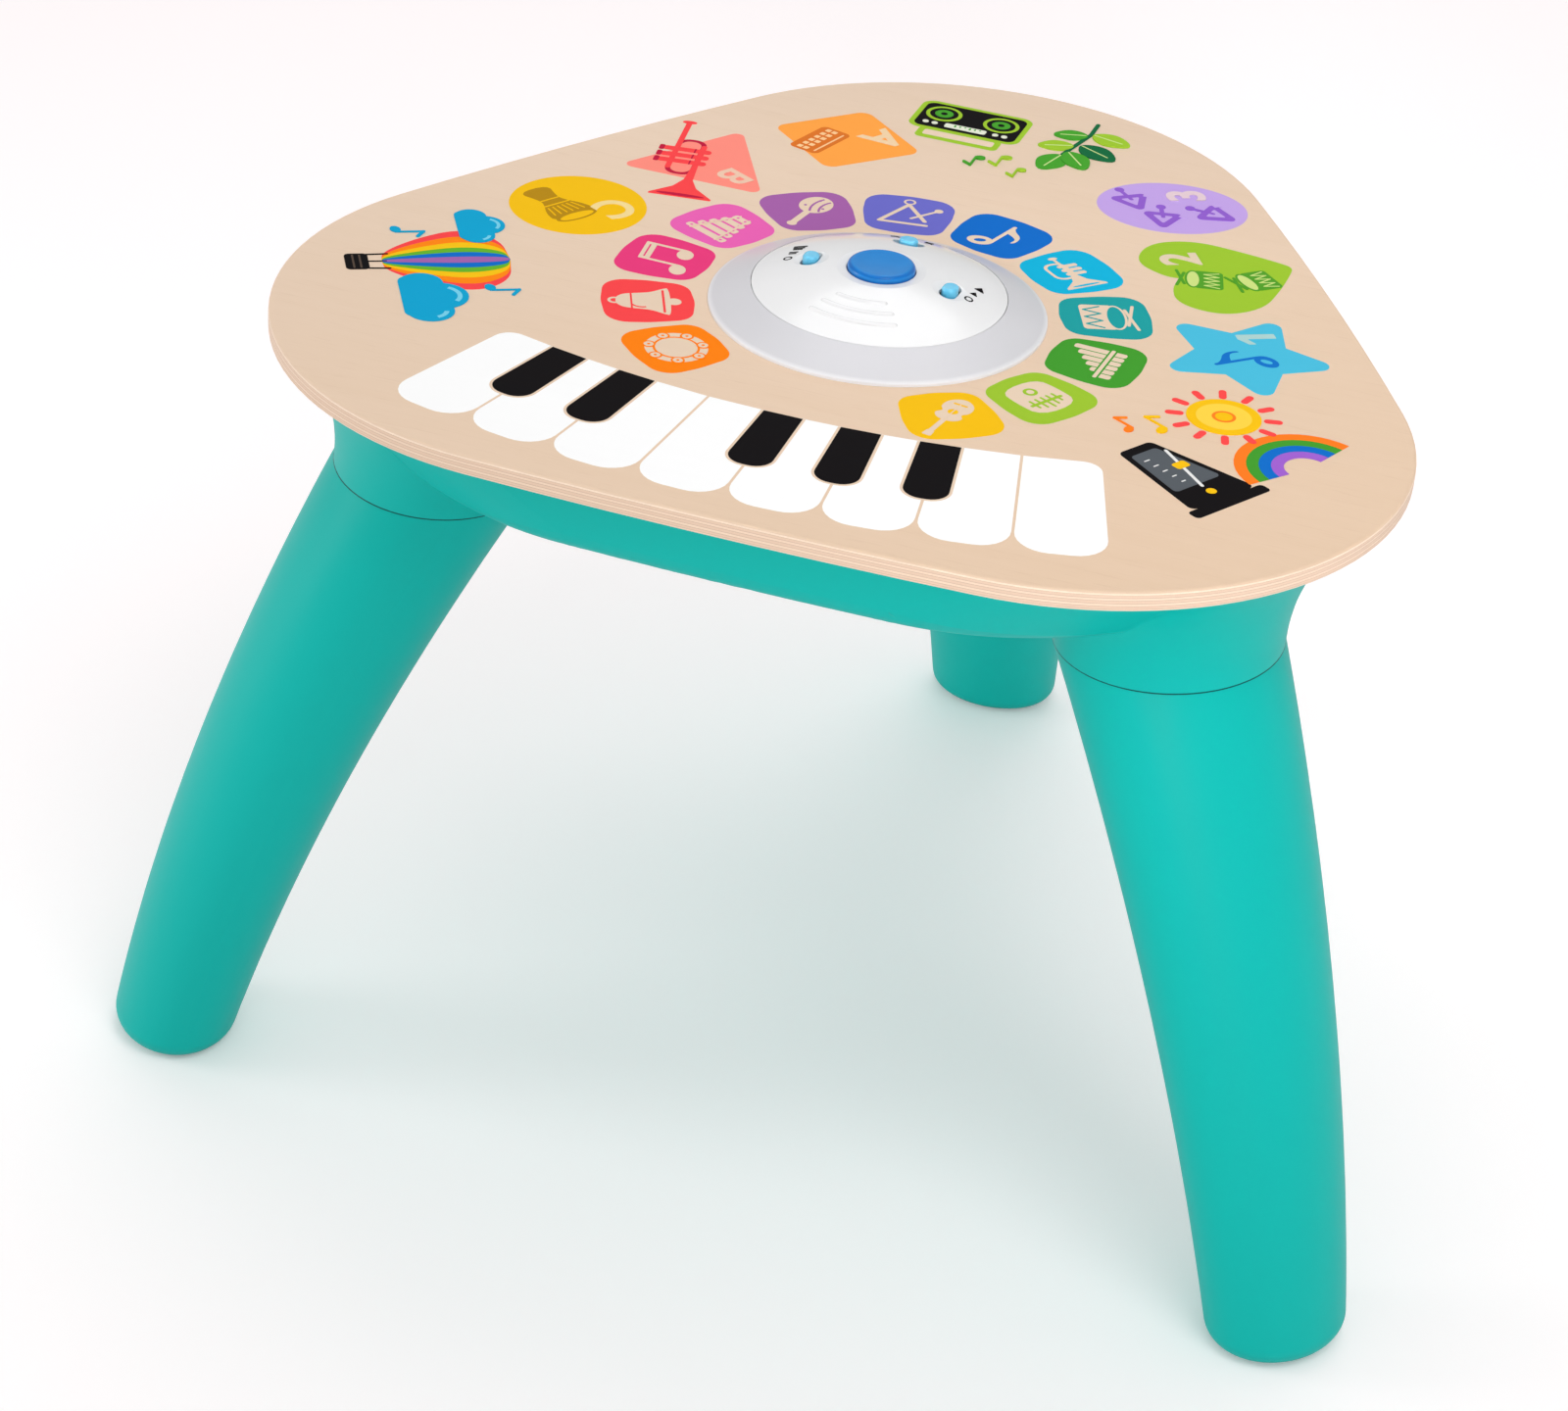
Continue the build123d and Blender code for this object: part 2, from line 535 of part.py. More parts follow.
def make_lower_body():
    body = tray(0, BODY_BOTTOM)
    for angle in CORNER_ANGLES.values():
        body += Rot(0, 0, angle) * corner_flare()
    body -= tray(BODY_WALL, BODY_FLOOR)
    # leg sockets
    for angle in CORNER_ANGLES.values():
        turn = Rot(0, 0, angle)
        cap_top = BORE_TOP + BODY_WALL
        tube = oval_prism(SEAM_DISTANCE, BORE_HALF_DEPTH + BODY_WALL, BORE_HALF_WIDTH + BODY_WALL,
                          BODY_BOTTOM, cap_top)
        bore = oval_prism(SEAM_DISTANCE, BORE_HALF_DEPTH, BORE_HALF_WIDTH, SEAM_HEIGHT, BORE_TOP)
        body += turn * tube
        body -= turn * bore
        body -= turn * spigot_catch(BODY_WALL, CATCH_CLEARANCE)
    # bosses for the screws that go up into the plywood
    for x, y in top_screw_places():
        body += rod(x, y, BODY_FLOOR - BODY_WALL / 2, PLY_BOTTOM, TOP_BOSS_RADIUS)
        seat = BODY_BOTTOM + TOP_BOSS_SEAT
        body -= rod(x, y, BODY_BOTTOM, seat, TOP_SCREW_HEAD + SCREW_CLEARANCE)
        body -= rod(x, y, seat, PLY_BOTTOM, TOP_SCREW_SHANK + SCREW_CLEARANCE)
    # battery chamber, its ledge and the recess for the door
    ledge_x = DOOR_HALF_WIDTH + DOOR_GAP + LEDGE_BORDER
    body += span(-ledge_x, ledge_x, DOOR_LOW_Y - DOOR_GAP - LEDGE_BORDER,
                 DOOR_HIGH_Y + DOOR_GAP + LEDGE_BORDER, BODY_FLOOR - BODY_WALL / 2, LEDGE_TOP)
    chamber_x = CELL_SPACE / 2
    body += span(-chamber_x - BATTERY_WALL, chamber_x + BATTERY_WALL, CHAMBER_LOW_Y - BATTERY_WALL,
                 CHAMBER_HIGH_Y + BATTERY_WALL, BODY_FLOOR, CHAMBER_TOP + BATTERY_WALL)
    body += rod(0, DOOR_SCREW_Y, BODY_FLOOR, DOOR_TOP + DOOR_SCREW_LENGTH, DOOR_SCREW_BOSS)
    body -= span(-chamber_x, chamber_x, CHAMBER_LOW_Y, CHAMBER_HIGH_Y, BODY_BOTTOM, CHAMBER_TOP)
    recess_x = DOOR_HALF_WIDTH + DOOR_GAP
    body -= span(-recess_x, recess_x, DOOR_LOW_Y - DOOR_GAP, DOOR_HIGH_Y + DOOR_GAP,
                 BODY_BOTTOM, RECESS_TOP)
    body -= rod(0, DOOR_SCREW_Y, BODY_BOTTOM, DOOR_TOP + DOOR_SCREW_LENGTH,
                DOOR_SCREW_SHANK + DOOR_SCREW_PLAY)
    for x in tab_places():
        half = TAB_WIDTH / 2 + DOOR_GAP
        behind = DOOR_LOW_Y - TAB_REACH - 2 * DOOR_GAP
        body -= span(x - half, x + half, DOOR_LOW_Y - DOOR_GAP, HINGE_Y + TAB_SWEEP,
                     BODY_BOTTOM, LEDGE_TOP)
        body -= span(x - half, x + half, behind, DOOR_LOW_Y, BODY_FLOOR, LEDGE_TOP)
    # posts for the main board and the loudspeaker, and the loudspeaker's grille
    for x, y in main_board_post_places():
        body += rod(x, y, BODY_FLOOR - BODY_WALL / 2, MAIN_BOARD_BOTTOM, MAIN_BOARD_POST_RADIUS)
        body -= rod(x, y, BODY_FLOOR, MAIN_BOARD_BOTTOM, BOARD_SCREW_SHANK)
    for x, y in speaker_post_places():
        body += rod(x, y, BODY_FLOOR - BODY_WALL / 2, BODY_FLOOR + SPEAKER_FLANGE, SPEAKER_POST_RADIUS)
        body -= rod(x, y, BODY_FLOOR - BODY_WALL / 2, BODY_FLOOR + SPEAKER_FLANGE, BOARD_SCREW_SHANK)
    for x, y in grille_places():
        body -= rod(x, y, BODY_BOTTOM, BODY_FLOOR, GRILLE_HOLE_RADIUS)
    return body


def make_top_screws():
    seat = BODY_BOTTOM + TOP_BOSS_SEAT
    length = PLY_BOTTOM + TOP_SCREW_BITE - seat
    screw = pan_screw(seat, TOP_SCREW_SHANK, TOP_SCREW_HEAD, TOP_SCREW_HEAD_HEIGHT, length)
    return [Pos(x, y, 0) * screw for x, y in top_screw_places()]


# ---- control dome --------------------------------------------------------------------------------
def make_light_ring():
    slope = (CAP_RIM_RISE - RING_LIP_HEIGHT) / (RING_OUTER_RADIUS - CAP_RADIUS - CAP_FIT)
    seat_radius = CAP_RADIUS + CAP_FIT
    sleeve_inner = RING_SLEEVE_RADIUS - RING_SLEEVE_WALL
    rim_end = TABLE_HEIGHT + RING_LIP_HEIGHT

    def upper(radius):
        return rim_end + (RING_OUTER_RADIUS - radius) * slope

    ledge_end = RING_OUTER_RADIUS - (LEDGE_BOTTOM_Z + RING_THICKNESS - rim_end) / slope
    points = [
        (RING_OUTER_RADIUS, TABLE_HEIGHT), (RING_OUTER_RADIUS, rim_end), (seat_radius, upper(seat_radius)),
        (seat_radius, LEDGE_TOP_Z), (RING_LEDGE_RADIUS, LEDGE_TOP_Z), (RING_LEDGE_RADIUS, LEDGE_BOTTOM_Z),
        (ledge_end, LEDGE_BOTTOM_Z), (sleeve_inner, upper(sleeve_inner) - RING_THICKNESS),
        (sleeve_inner, PLY_BOTTOM), (RING_SLEEVE_RADIUS, PLY_BOTTOM), (RING_SLEEVE_RADIUS, TABLE_HEIGHT),
    ]
    profile = make_face(Polyline(*points, close=True))
    lip = profile.vertices().sort_by_distance((RING_OUTER_RADIUS, rim_end, 0))[0]
    ring = revolve(Plane.XZ * fillet(lip, RING_LIP_HEIGHT * 0.6), Axis.Z)
    for angle in LUG_ANGLES:
        place = polar(LUG_DISTANCE, angle)
        ring += rod(place.X, place.Y, PLY_BOTTOM, PLY_BOTTOM + LUG_HEIGHT, LUG_RADIUS)
    for angle in LUG_ANGLES:
        place = polar(LUG_DISTANCE, angle)
        ring -= rod(place.X, place.Y, PLY_BOTTOM, PLY_BOTTOM + DOME_SCREW_BITE, DOME_SCREW_SHANK)
    return ring


def make_dome_base():
    z_low = PLY_BOTTOM - BASE_THICKNESS
    base = rod(0, 0, z_low, PLY_BOTTOM, BASE_OUTER_RADIUS) - rod(0, 0, z_low, PLY_BOTTOM, BASE_INNER_RADIUS)
    for angle in LUG_ANGLES:
        place = polar(LUG_DISTANCE, angle)
        base -= rod(place.X, place.Y, z_low, PLY_BOTTOM, DOME_SCREW_SHANK + SCREW_CLEARANCE)
    return base


def make_dome_screws():
    seat = PLY_BOTTOM - BASE_THICKNESS
    length = BASE_THICKNESS + DOME_SCREW_BITE
    screw = pan_screw(seat, DOME_SCREW_SHANK, DOME_SCREW_HEAD, DOME_SCREW_HEAD_HEIGHT, length)
    screws = []
    for angle in LUG_ANGLES:
        place = polar(LUG_DISTANCE, angle)
        screws.append(Pos(place.X, place.Y, 0) * screw)
    return screws


def slot_prism(length, width, distance, angle, z_low, z_high):
    """An upright prism of a round-ended slot across the radius, at a distance and an angle."""
    face = SlotOverall(length, width)
    prism = Pos(distance, 0, z_low) * Rot(0, 0, 90) * extrude(face, z_high - z_low)
    return Rot(0, 0, angle) * prism


def dish(x, y, surface_z, radius, depth):
    """A ball that cuts a shallow dish into a face at a height."""
    ball_radius = (radius**2 + depth**2) / (2 * depth)
    return Pos(x, y, surface_z - depth + ball_radius) * Sphere(ball_radius)


def sound_wave(radius, half_spread):
    """A raised bead on the cap: part of a circle round the dome's axis."""
    centre_z = cap_outside(radius) - WAVE_BEAD + WAVE_PROUD
    bead = Pos(radius, 0, centre_z) * Rot(90, 0, 0) * Circle(WAVE_BEAD)
    turned = Rot(0, 0, WAVE_DIRECTION - half_spread) * bead
    arc = revolve(turned, Axis.Z, 2 * half_spread)
    for angle in (WAVE_DIRECTION - half_spread, WAVE_DIRECTION + half_spread):
        end = polar(radius, angle, centre_z)
        arc += Pos(end.X, end.Y, end.Z) * Sphere(WAVE_BEAD)
    return arc


def make_dome_cap():
    inner_sphere = CAP_SPHERE - CAP_WALL
    skirt_inner = CAP_RADIUS - CAP_SKIRT_WALL
    solid = Pos(0, 0, CAP_CENTRE_Z) * Sphere(CAP_SPHERE)
    solid = solid & rod(0, 0, LEDGE_TOP_Z, CROWN_Z + 1, CAP_RADIUS)
    hollow = Pos(0, 0, CAP_CENTRE_Z) * Sphere(inner_sphere)
    hollow = hollow & rod(0, 0, LEDGE_TOP_Z - 1, CROWN_Z, skirt_inner)
    cap = solid - hollow
    for radius, half_spread in zip(WAVE_RADII, WAVE_HALF_SPREADS):
        cap += sound_wave(radius, half_spread) - hollow
    cap -= dish(0, 0, cap_outside(BUTTON_WELL_RADIUS), BUTTON_WELL_RADIUS, BUTTON_WELL_DEPTH)
    cap -= rod(0, 0, DOME_BOARD_TOP, CROWN_Z + 1, BUTTON_RADIUS + BUTTON_GAP)
    for angle in DOME_ANGLES:
        place = polar(CAP_POST_DISTANCE, angle)
        post = rod(place.X, place.Y, DOME_BOARD_TOP, cap_inside(CAP_POST_DISTANCE) + CAP_WALL / 2,
                   CAP_POST_RADIUS)
        cap += post
        cap -= rod(place.X, place.Y, DOME_BOARD_TOP, DOME_BOARD_TOP + BOARD_SCREW_BITE, BOARD_SCREW_SHANK)
        # a hook that snaps under the ring's ledge
        outer = RING_LEDGE_RADIUS - CAP_FIT
        nib_top = LEDGE_BOTTOM_Z - HOOK_GAP
        arm = span(outer - HOOK_THICKNESS, outer, -HOOK_WIDTH / 2, HOOK_WIDTH / 2,
                   nib_top - HOOK_THICKNESS, cap_inside(skirt_inner) + CAP_WALL / 2)
        nib = span(outer - HOOK_THICKNESS, outer + HOOK_REACH, -HOOK_WIDTH / 2, HOOK_WIDTH / 2,
                   nib_top - HOOK_THICKNESS / 2, nib_top)
        hook = (arm + nib) & rod(0, 0, nib_top - HOOK_THICKNESS, CROWN_Z, outer + HOOK_REACH)
        cap += Rot(0, 0, angle + 60) * hook
    for distance, angle in SLIDER_PLACES.values():
        slope = degrees(asin(distance / CAP_SPHERE))
        tilt = Pos(0, 0, CAP_CENTRE_Z) * Rot(0, 0, angle) * Rot(0, slope, 0)
        cap -= tilt * dish(0, 0, CAP_SPHERE, KNOB_DISH_RADIUS, KNOB_DISH_DEPTH)
        cap -= slot_prism(SLOT_LENGTH, KNOB_WIDTH + 2 * KNOB_GAP, distance, angle, DOME_BOARD_TOP, CROWN_Z)
    return cap


def make_centre_button():
    top = CROWN_Z + BUTTON_TOP_RISE
    crown = rod(0, 0, BUTTON_FLANGE_BOTTOM, top, BUTTON_RADIUS)
    crown = fillet(crown.edges().group_by(Axis.Z)[-1], BUTTON_TOP_ROUND)
    crown -= dish(0, 0, top, BUTTON_DISH_RADIUS, BUTTON_DISH_DEPTH)
    crown += rod(0, 0, BUTTON_FLANGE_BOTTOM, BUTTON_FLANGE_TOP, BUTTON_FLANGE_RADIUS)
    crown -= rod(0, 0, BUTTON_FLANGE_BOTTOM, top - BUTTON_WALL, BUTTON_RADIUS - BUTTON_WALL)
    return crown + rod(0, 0, CONTACT_TOP, top - BUTTON_WALL / 2, BUTTON_STEM_RADIUS)


def make_contact_dome():
    base = rod(0, 0, DOME_BOARD_TOP, DOME_BOARD_TOP + CONTACT_FLANGE, CONTACT_BASE_RADIUS)
    lower = Pos(0, 0, DOME_BOARD_TOP + CONTACT_FLANGE) * Circle(CONTACT_BASE_RADIUS - CONTACT_FLANGE)
    upper = Pos(0, 0, CONTACT_TOP) * Circle(CONTACT_TOP_RADIUS)
    return base + loft([lower, upper])


def make_dome_board():
    board = rod(0, 0, DOME_BOARD_BOTTOM, DOME_BOARD_TOP, DOME_BOARD_RADIUS)
    for angle in DOME_ANGLES:
        place = polar(CAP_POST_DISTANCE, angle)
        board -= rod(place.X, place.Y, DOME_BOARD_BOTTOM, DOME_BOARD_TOP, BOARD_SCREW_SHANK + SCREW_CLEARANCE)
    return board


def make_dome_board_screws():
    length = BOARD_THICKNESS + BOARD_SCREW_BITE
    screw = pan_screw(DOME_BOARD_BOTTOM, BOARD_SCREW_SHANK, BOARD_SCREW_HEAD, BOARD_SCREW_HEAD_HEIGHT, length)
    screws = []
    for angle in DOME_ANGLES:
        place = polar(CAP_POST_DISTANCE, angle)
        screws.append(Pos(place.X, place.Y, 0) * screw)
    return screws


def make_ring_lamps():
    lamps = []
    for number in range(LAMP_COUNT):
        angle = (number + 0.5) * 360 / LAMP_COUNT
        lamp = block(LAMP_DISTANCE, 0, DOME_BOARD_TOP, LAMP_SIZE[1], LAMP_SIZE[0], LAMP_SIZE[2])
        lamps.append(Rot(0, 0, angle) * lamp)
    return lamps


def make_slider(distance, angle):
    """A knob in its slot, the flange that holds it under the cap, and its lever."""
    top = cap_outside(distance) + KNOB_RISE
    knob = slot_prism(KNOB_LENGTH, KNOB_WIDTH, distance, 0, KNOB_FLANGE_BOTTOM, top)
    knob = fillet(knob.edges().group_by(Axis.Z)[-1], KNOB_TOP_ROUND)
    knob += block(distance, 0, KNOB_FLANGE_BOTTOM, KNOB_FLANGE_WIDTH, KNOB_FLANGE_LENGTH,
                  KNOB_FLANGE_THICKNESS)
    lever_foot = DOME_BOARD_TOP + SWITCH_FLOOR + LEVER_FOOT_GAP
    knob += block(distance, 0, lever_foot, LEVER_SIZE[1], LEVER_SIZE[0],
                  KNOB_FLANGE_BOTTOM - lever_foot + KNOB_FLANGE_THICKNESS / 2)
    return Rot(0, 0, angle) * knob


def make_switch_cases():
    cases = []
    track_length = LEVER_SIZE[0] + 2 * SLIDER_TRAVEL + 2 * LEVER_GAP
    for distance, angle in SLIDER_PLACES.values():
        case = block(distance, 0, DOME_BOARD_TOP, SWITCH_WIDTH, SWITCH_LENGTH, SWITCH_HEIGHT)
        case -= block(distance, 0, DOME_BOARD_TOP + SWITCH_FLOOR, LEVER_SIZE[1] + 2 * LEVER_GAP,
                      track_length, SWITCH_HEIGHT)
        cases.append(Rot(0, 0, angle) * case)
    return cases


# ---- electronics in the body ---------------------------------------------------------------------
def make_main_board():
    board = block(*MAIN_BOARD_CENTRE, MAIN_BOARD_BOTTOM, *MAIN_BOARD_SIZE, BOARD_THICKNESS)
    for x, y in main_board_post_places():
        board -= rod(x, y, MAIN_BOARD_BOTTOM, MAIN_BOARD_TOP, BOARD_SCREW_SHANK + SCREW_CLEARANCE)
    return board


def make_board_parts():
    parts = [block(x, y, MAIN_BOARD_TOP, *SOCKET_SIZE) for x, y in BOARD_SOCKETS.values()]
    chip = rod(MAIN_BOARD_CENTRE[0] - CHIP_RADIUS, MAIN_BOARD_CENTRE[1] - CHIP_RADIUS,
               MAIN_BOARD_TOP, MAIN_BOARD_TOP + CHIP_HEIGHT, CHIP_RADIUS)
    parts.append(fillet(chip.edges().group_by(Axis.Z)[-1], CHIP_HEIGHT * 0.6))
    return parts


def make_main_board_screws():
    length = BOARD_THICKNESS + BOARD_SCREW_BITE
    screw = pan_screw(0, BOARD_SCREW_SHANK, BOARD_SCREW_HEAD, BOARD_SCREW_HEAD_HEIGHT, length)
    flipped = Pos(0, 0, MAIN_BOARD_TOP) * Rot(180, 0, 0) * screw
    return [Pos(x, y, 0) * flipped for x, y in main_board_post_places()]


def make_speaker_frame():
    x, y = SPEAKER_CENTRE
    top = BODY_FLOOR + SPEAKER_BASKET_HEIGHT
    inner = CONE_OUTER_RADIUS + SPEAKER_BASKET_WALL
    points = [
        (inner, BODY_FLOOR), (SPEAKER_RADIUS, BODY_FLOOR), (SPEAKER_RADIUS, BODY_FLOOR + SPEAKER_FLANGE),
        (inner + SPEAKER_BASKET_WALL, BODY_FLOOR + SPEAKER_FLANGE), (MAGNET_RADIUS, top),
        (SPEAKER_NECK_RADIUS, top), (SPEAKER_NECK_RADIUS, top - SPEAKER_BASKET_WALL),
        (MAGNET_RADIUS - SPEAKER_BASKET_WALL, top - SPEAKER_BASKET_WALL),
        (inner, BODY_FLOOR + SPEAKER_FLANGE),
    ]
    profile = Plane.XZ * make_face(Polyline(*points, close=True))
    return Pos(x, y, 0) * revolve(profile, Axis.Z)


def make_speaker_magnet():
    low = BODY_FLOOR + SPEAKER_BASKET_HEIGHT
    magnet = rod(*SPEAKER_CENTRE, low, low + MAGNET_HEIGHT, MAGNET_RADIUS)
    return chamfer(magnet.edges().group_by(Axis.Z)[-1], SPEAKER_BASKET_WALL)


def make_speaker_cone():
    x, y = SPEAKER_CENTRE
    low = BODY_FLOOR
    rim = CONE_OUTER_RADIUS + SPEAKER_BASKET_WALL
    points = [
        (CONE_INNER_RADIUS, low + CONE_DEPTH), (CONE_OUTER_RADIUS, low + CONE_SHEET),
        (rim, low + CONE_SHEET), (rim, low), (CONE_OUTER_RADIUS - CONE_SHEET, low),
        (CONE_INNER_RADIUS, low + CONE_DEPTH - CONE_SHEET * 1.5), (0, low + CONE_DEPTH - CONE_SHEET * 1.5),
        (0, low + CONE_DEPTH),
    ]
    profile = Plane.XZ * make_face(Polyline(*points, close=True))
    cone = revolve(profile, Axis.Z)
    voice_coil_top = BODY_FLOOR + SPEAKER_BASKET_HEIGHT
    cone += rod(0, 0, low + CONE_DEPTH - CONE_SHEET, voice_coil_top, CONE_INNER_RADIUS)
    return Pos(x, y, 0) * cone


def make_speaker_screws():
    """Screws beside the loudspeaker, whose washers overlap its flange."""
    seat = BODY_FLOOR + SPEAKER_FLANGE
    washer_radius = SPEAKER_POST_RADIUS + SPEAKER_POST_GAP + SPEAKER_WASHER
    screws = []
    for x, y in speaker_post_places():
        screw = rod(x, y, seat, seat + SPEAKER_WASHER, washer_radius)
        screw += rod(x, y, seat + SPEAKER_WASHER, seat + SPEAKER_WASHER + BOARD_SCREW_HEAD_HEIGHT,
                     BOARD_SCREW_HEAD)
        screw += rod(x, y, BODY_FLOOR - BODY_WALL / 2, seat, BOARD_SCREW_SHANK)
        screws.append(screw)
    return screws


# ---- batteries -----------------------------------------------------------------------------------
def cell_rows():
    """Each cell's Y position, and 1 or -1 for the way its nub points along X."""
    rows = []
    for number in range(CELL_COUNT):
        y = BATTERY_CENTRE_Y + (number - (CELL_COUNT - 1) / 2) * CELL_PITCH
        rows.append((y, 1 if number % 2 == 0 else -1))
    return rows


def make_cell(y, way):
    """A cell whose nub touches the plate at one end of the chamber."""
    nub_end = CELL_SPACE / 2 - PLATE_THICKNESS
    can = Pos(nub_end - CELL_NUB_LENGTH - CELL_LENGTH / 2, 0, 0) * Rot(0, 90, 0) * Cylinder(
        CELL_RADIUS, CELL_LENGTH)
    can = fillet(can.edges(), 0.5)
    nub = Pos(nub_end - CELL_NUB_LENGTH / 2, 0, 0) * Rot(0, 90, 0) * Cylinder(
        CELL_NUB_RADIUS, CELL_NUB_LENGTH)
    turn = 0 if way > 0 else 180
    return Pos(0, y, CELL_Z) * Rot(0, 0, turn) * (can + nub)


def make_contact_plates():
    plates = []
    for y, way in cell_rows():
        for side in (-1, 1):
            x = side * (CELL_SPACE / 2 - PLATE_THICKNESS / 2)
            plates.append(Pos(x, y, CELL_Z) * Box(PLATE_THICKNESS, *PLATE_SIZE))
    return plates


def make_contact_springs():
    springs = []
    coil_height = SPRING_LENGTH - 2 * SPRING_WIRE
    path = Helix(coil_height / SPRING_TURNS, coil_height, SPRING_RADIUS)
    section = Plane(origin=path @ 0, z_dir=path % 0) * Circle(SPRING_WIRE)
    coil = sweep(section, path=path, is_frenet=True)
    for y, way in cell_rows():
        plate_face = CELL_SPACE / 2 - PLATE_THICKNESS
        spring = Pos(-plate_face + SPRING_WIRE, 0, 0) * Rot(0, 90, 0) * coil
        turn = 0 if way > 0 else 180
        springs.append(Pos(0, y, CELL_Z) * Rot(0, 0, turn) * spring)
    return springs


def make_battery_door():
    door = span(-DOOR_HALF_WIDTH, DOOR_HALF_WIDTH, HINGE_Y, DOOR_HIGH_Y, BODY_BOTTOM, DOOR_TOP)
    door += Pos(0, HINGE_Y, HINGE_Z) * Rot(0, 90, 0) * Cylinder(DOOR_THICKNESS / 2, 2 * DOOR_HALF_WIDTH)
    for x in tab_places():
        root_low = HINGE_Y - TAB_ROOT_BEHIND
        door += span(x - TAB_WIDTH / 2, x + TAB_WIDTH / 2, root_low, root_low + TAB_ROOT,
                     HINGE_Z, TAB_HIGH)
        door += span(x - TAB_WIDTH / 2, x + TAB_WIDTH / 2, DOOR_LOW_Y - TAB_REACH, root_low + TAB_ROOT,
                     TAB_LOW, TAB_HIGH)
    door -= rod(0, DOOR_SCREW_Y, BODY_BOTTOM, DOOR_TOP, DOOR_SCREW_SHANK + SCREW_CLEARANCE)
    door -= rod(0, DOOR_SCREW_Y, BODY_BOTTOM, BODY_BOTTOM + DOOR_SCREW_HEAD_HEIGHT,
                DOOR_SCREW_HEAD + SCREW_CLEARANCE)
    return door


def make_door_screw():
    seat = BODY_BOTTOM + DOOR_SCREW_HEAD_HEIGHT
    screw = rod(0, DOOR_SCREW_Y, BODY_BOTTOM, seat, DOOR_SCREW_HEAD)
    screw += rod(0, DOOR_SCREW_Y, seat, DOOR_TOP + DOOR_SCREW_LENGTH - 1, DOOR_SCREW_SHANK)
    width, depth = DOOR_SCREW_SLOT
    for turn in (0, 90):
        slot = block(0, 0, BODY_BOTTOM, DOOR_SCREW_HEAD * 1.2, width, depth)
        screw -= Pos(0, DOOR_SCREW_Y, 0) * Rot(0, 0, turn) * slot
    return screw


# ---- wires ---------------------------------------------------------------------------------------
def lead(points):
    """A round wire along straight runs joined by arcs of 0.45 of the shorter run."""
    stops = [Vector(*point) for point in points]
    radii = []
    for before, corner, after in zip(stops, stops[1:], stops[2:]):
        arriving, leaving = corner - before, after - corner
        turn = radians(arriving.get_angle(leaving))
        radii.append(0.45 * min(arriving.length, leaving.length) / tan(turn / 2))
    path = FilletPolyline(*stops, radius=radii)
    section = Plane(origin=path @ 0, z_dir=path % 0) * Circle(LEAD_RADIUS)
    return sweep(section, path=path)


def make_dome_lead():
    """From the dome's board down through the base to the main board."""
    x, y = BOARD_SOCKETS["dome"]
    start_x, start_y = DOME_LEAD_START
    under_base = PLY_BOTTOM - BASE_THICKNESS - 3 * LEAD_RADIUS
    return lead([
        (start_x, start_y, DOME_BOARD_BOTTOM), (start_x, start_y, PLY_BOTTOM - 1),
        (start_x - 12, start_y + 3, under_base - 1), (start_x - 30, start_y + 7, under_base - 3),
        (x, y, SOCKET_TOP + 5), (x, y, SOCKET_TOP),
    ])


def make_speaker_lead():
    """From the loudspeaker's magnet cup round the dome's base to the main board."""
    x, y = BOARD_SOCKETS["speaker"]
    start_x = SPEAKER_CENTRE[0] - MAGNET_RADIUS
    start_y = SPEAKER_CENTRE[1]
    level = BODY_FLOOR + SPEAKER_BASKET_HEIGHT + MAGNET_HEIGHT / 2
    return lead([
        (start_x, start_y, level), (start_x - 14, start_y, level),
        (start_x - 34, start_y + 16, level + 2), (x + 2, y - 34, SOCKET_TOP + 9),
        (x, y - 9, SOCKET_TOP + 9), (x, y, SOCKET_TOP + 5), (x, y, SOCKET_TOP),
    ])


def make_battery_lead():
    """From the side of the battery chamber to the main board."""
    x, y = BOARD_SOCKETS["battery"]
    wall = -CELL_SPACE / 2 - BATTERY_WALL
    level = MAIN_BOARD_TOP + SOCKET_SIZE[2] / 2
    start_y = BATTERY_CENTRE_Y - 6
    end_x = x + SOCKET_SIZE[0] / 2
    return lead([
        (wall, start_y, level), (wall - 10, start_y, level),
        (end_x + 11, y, level), (end_x, y, level),
    ])


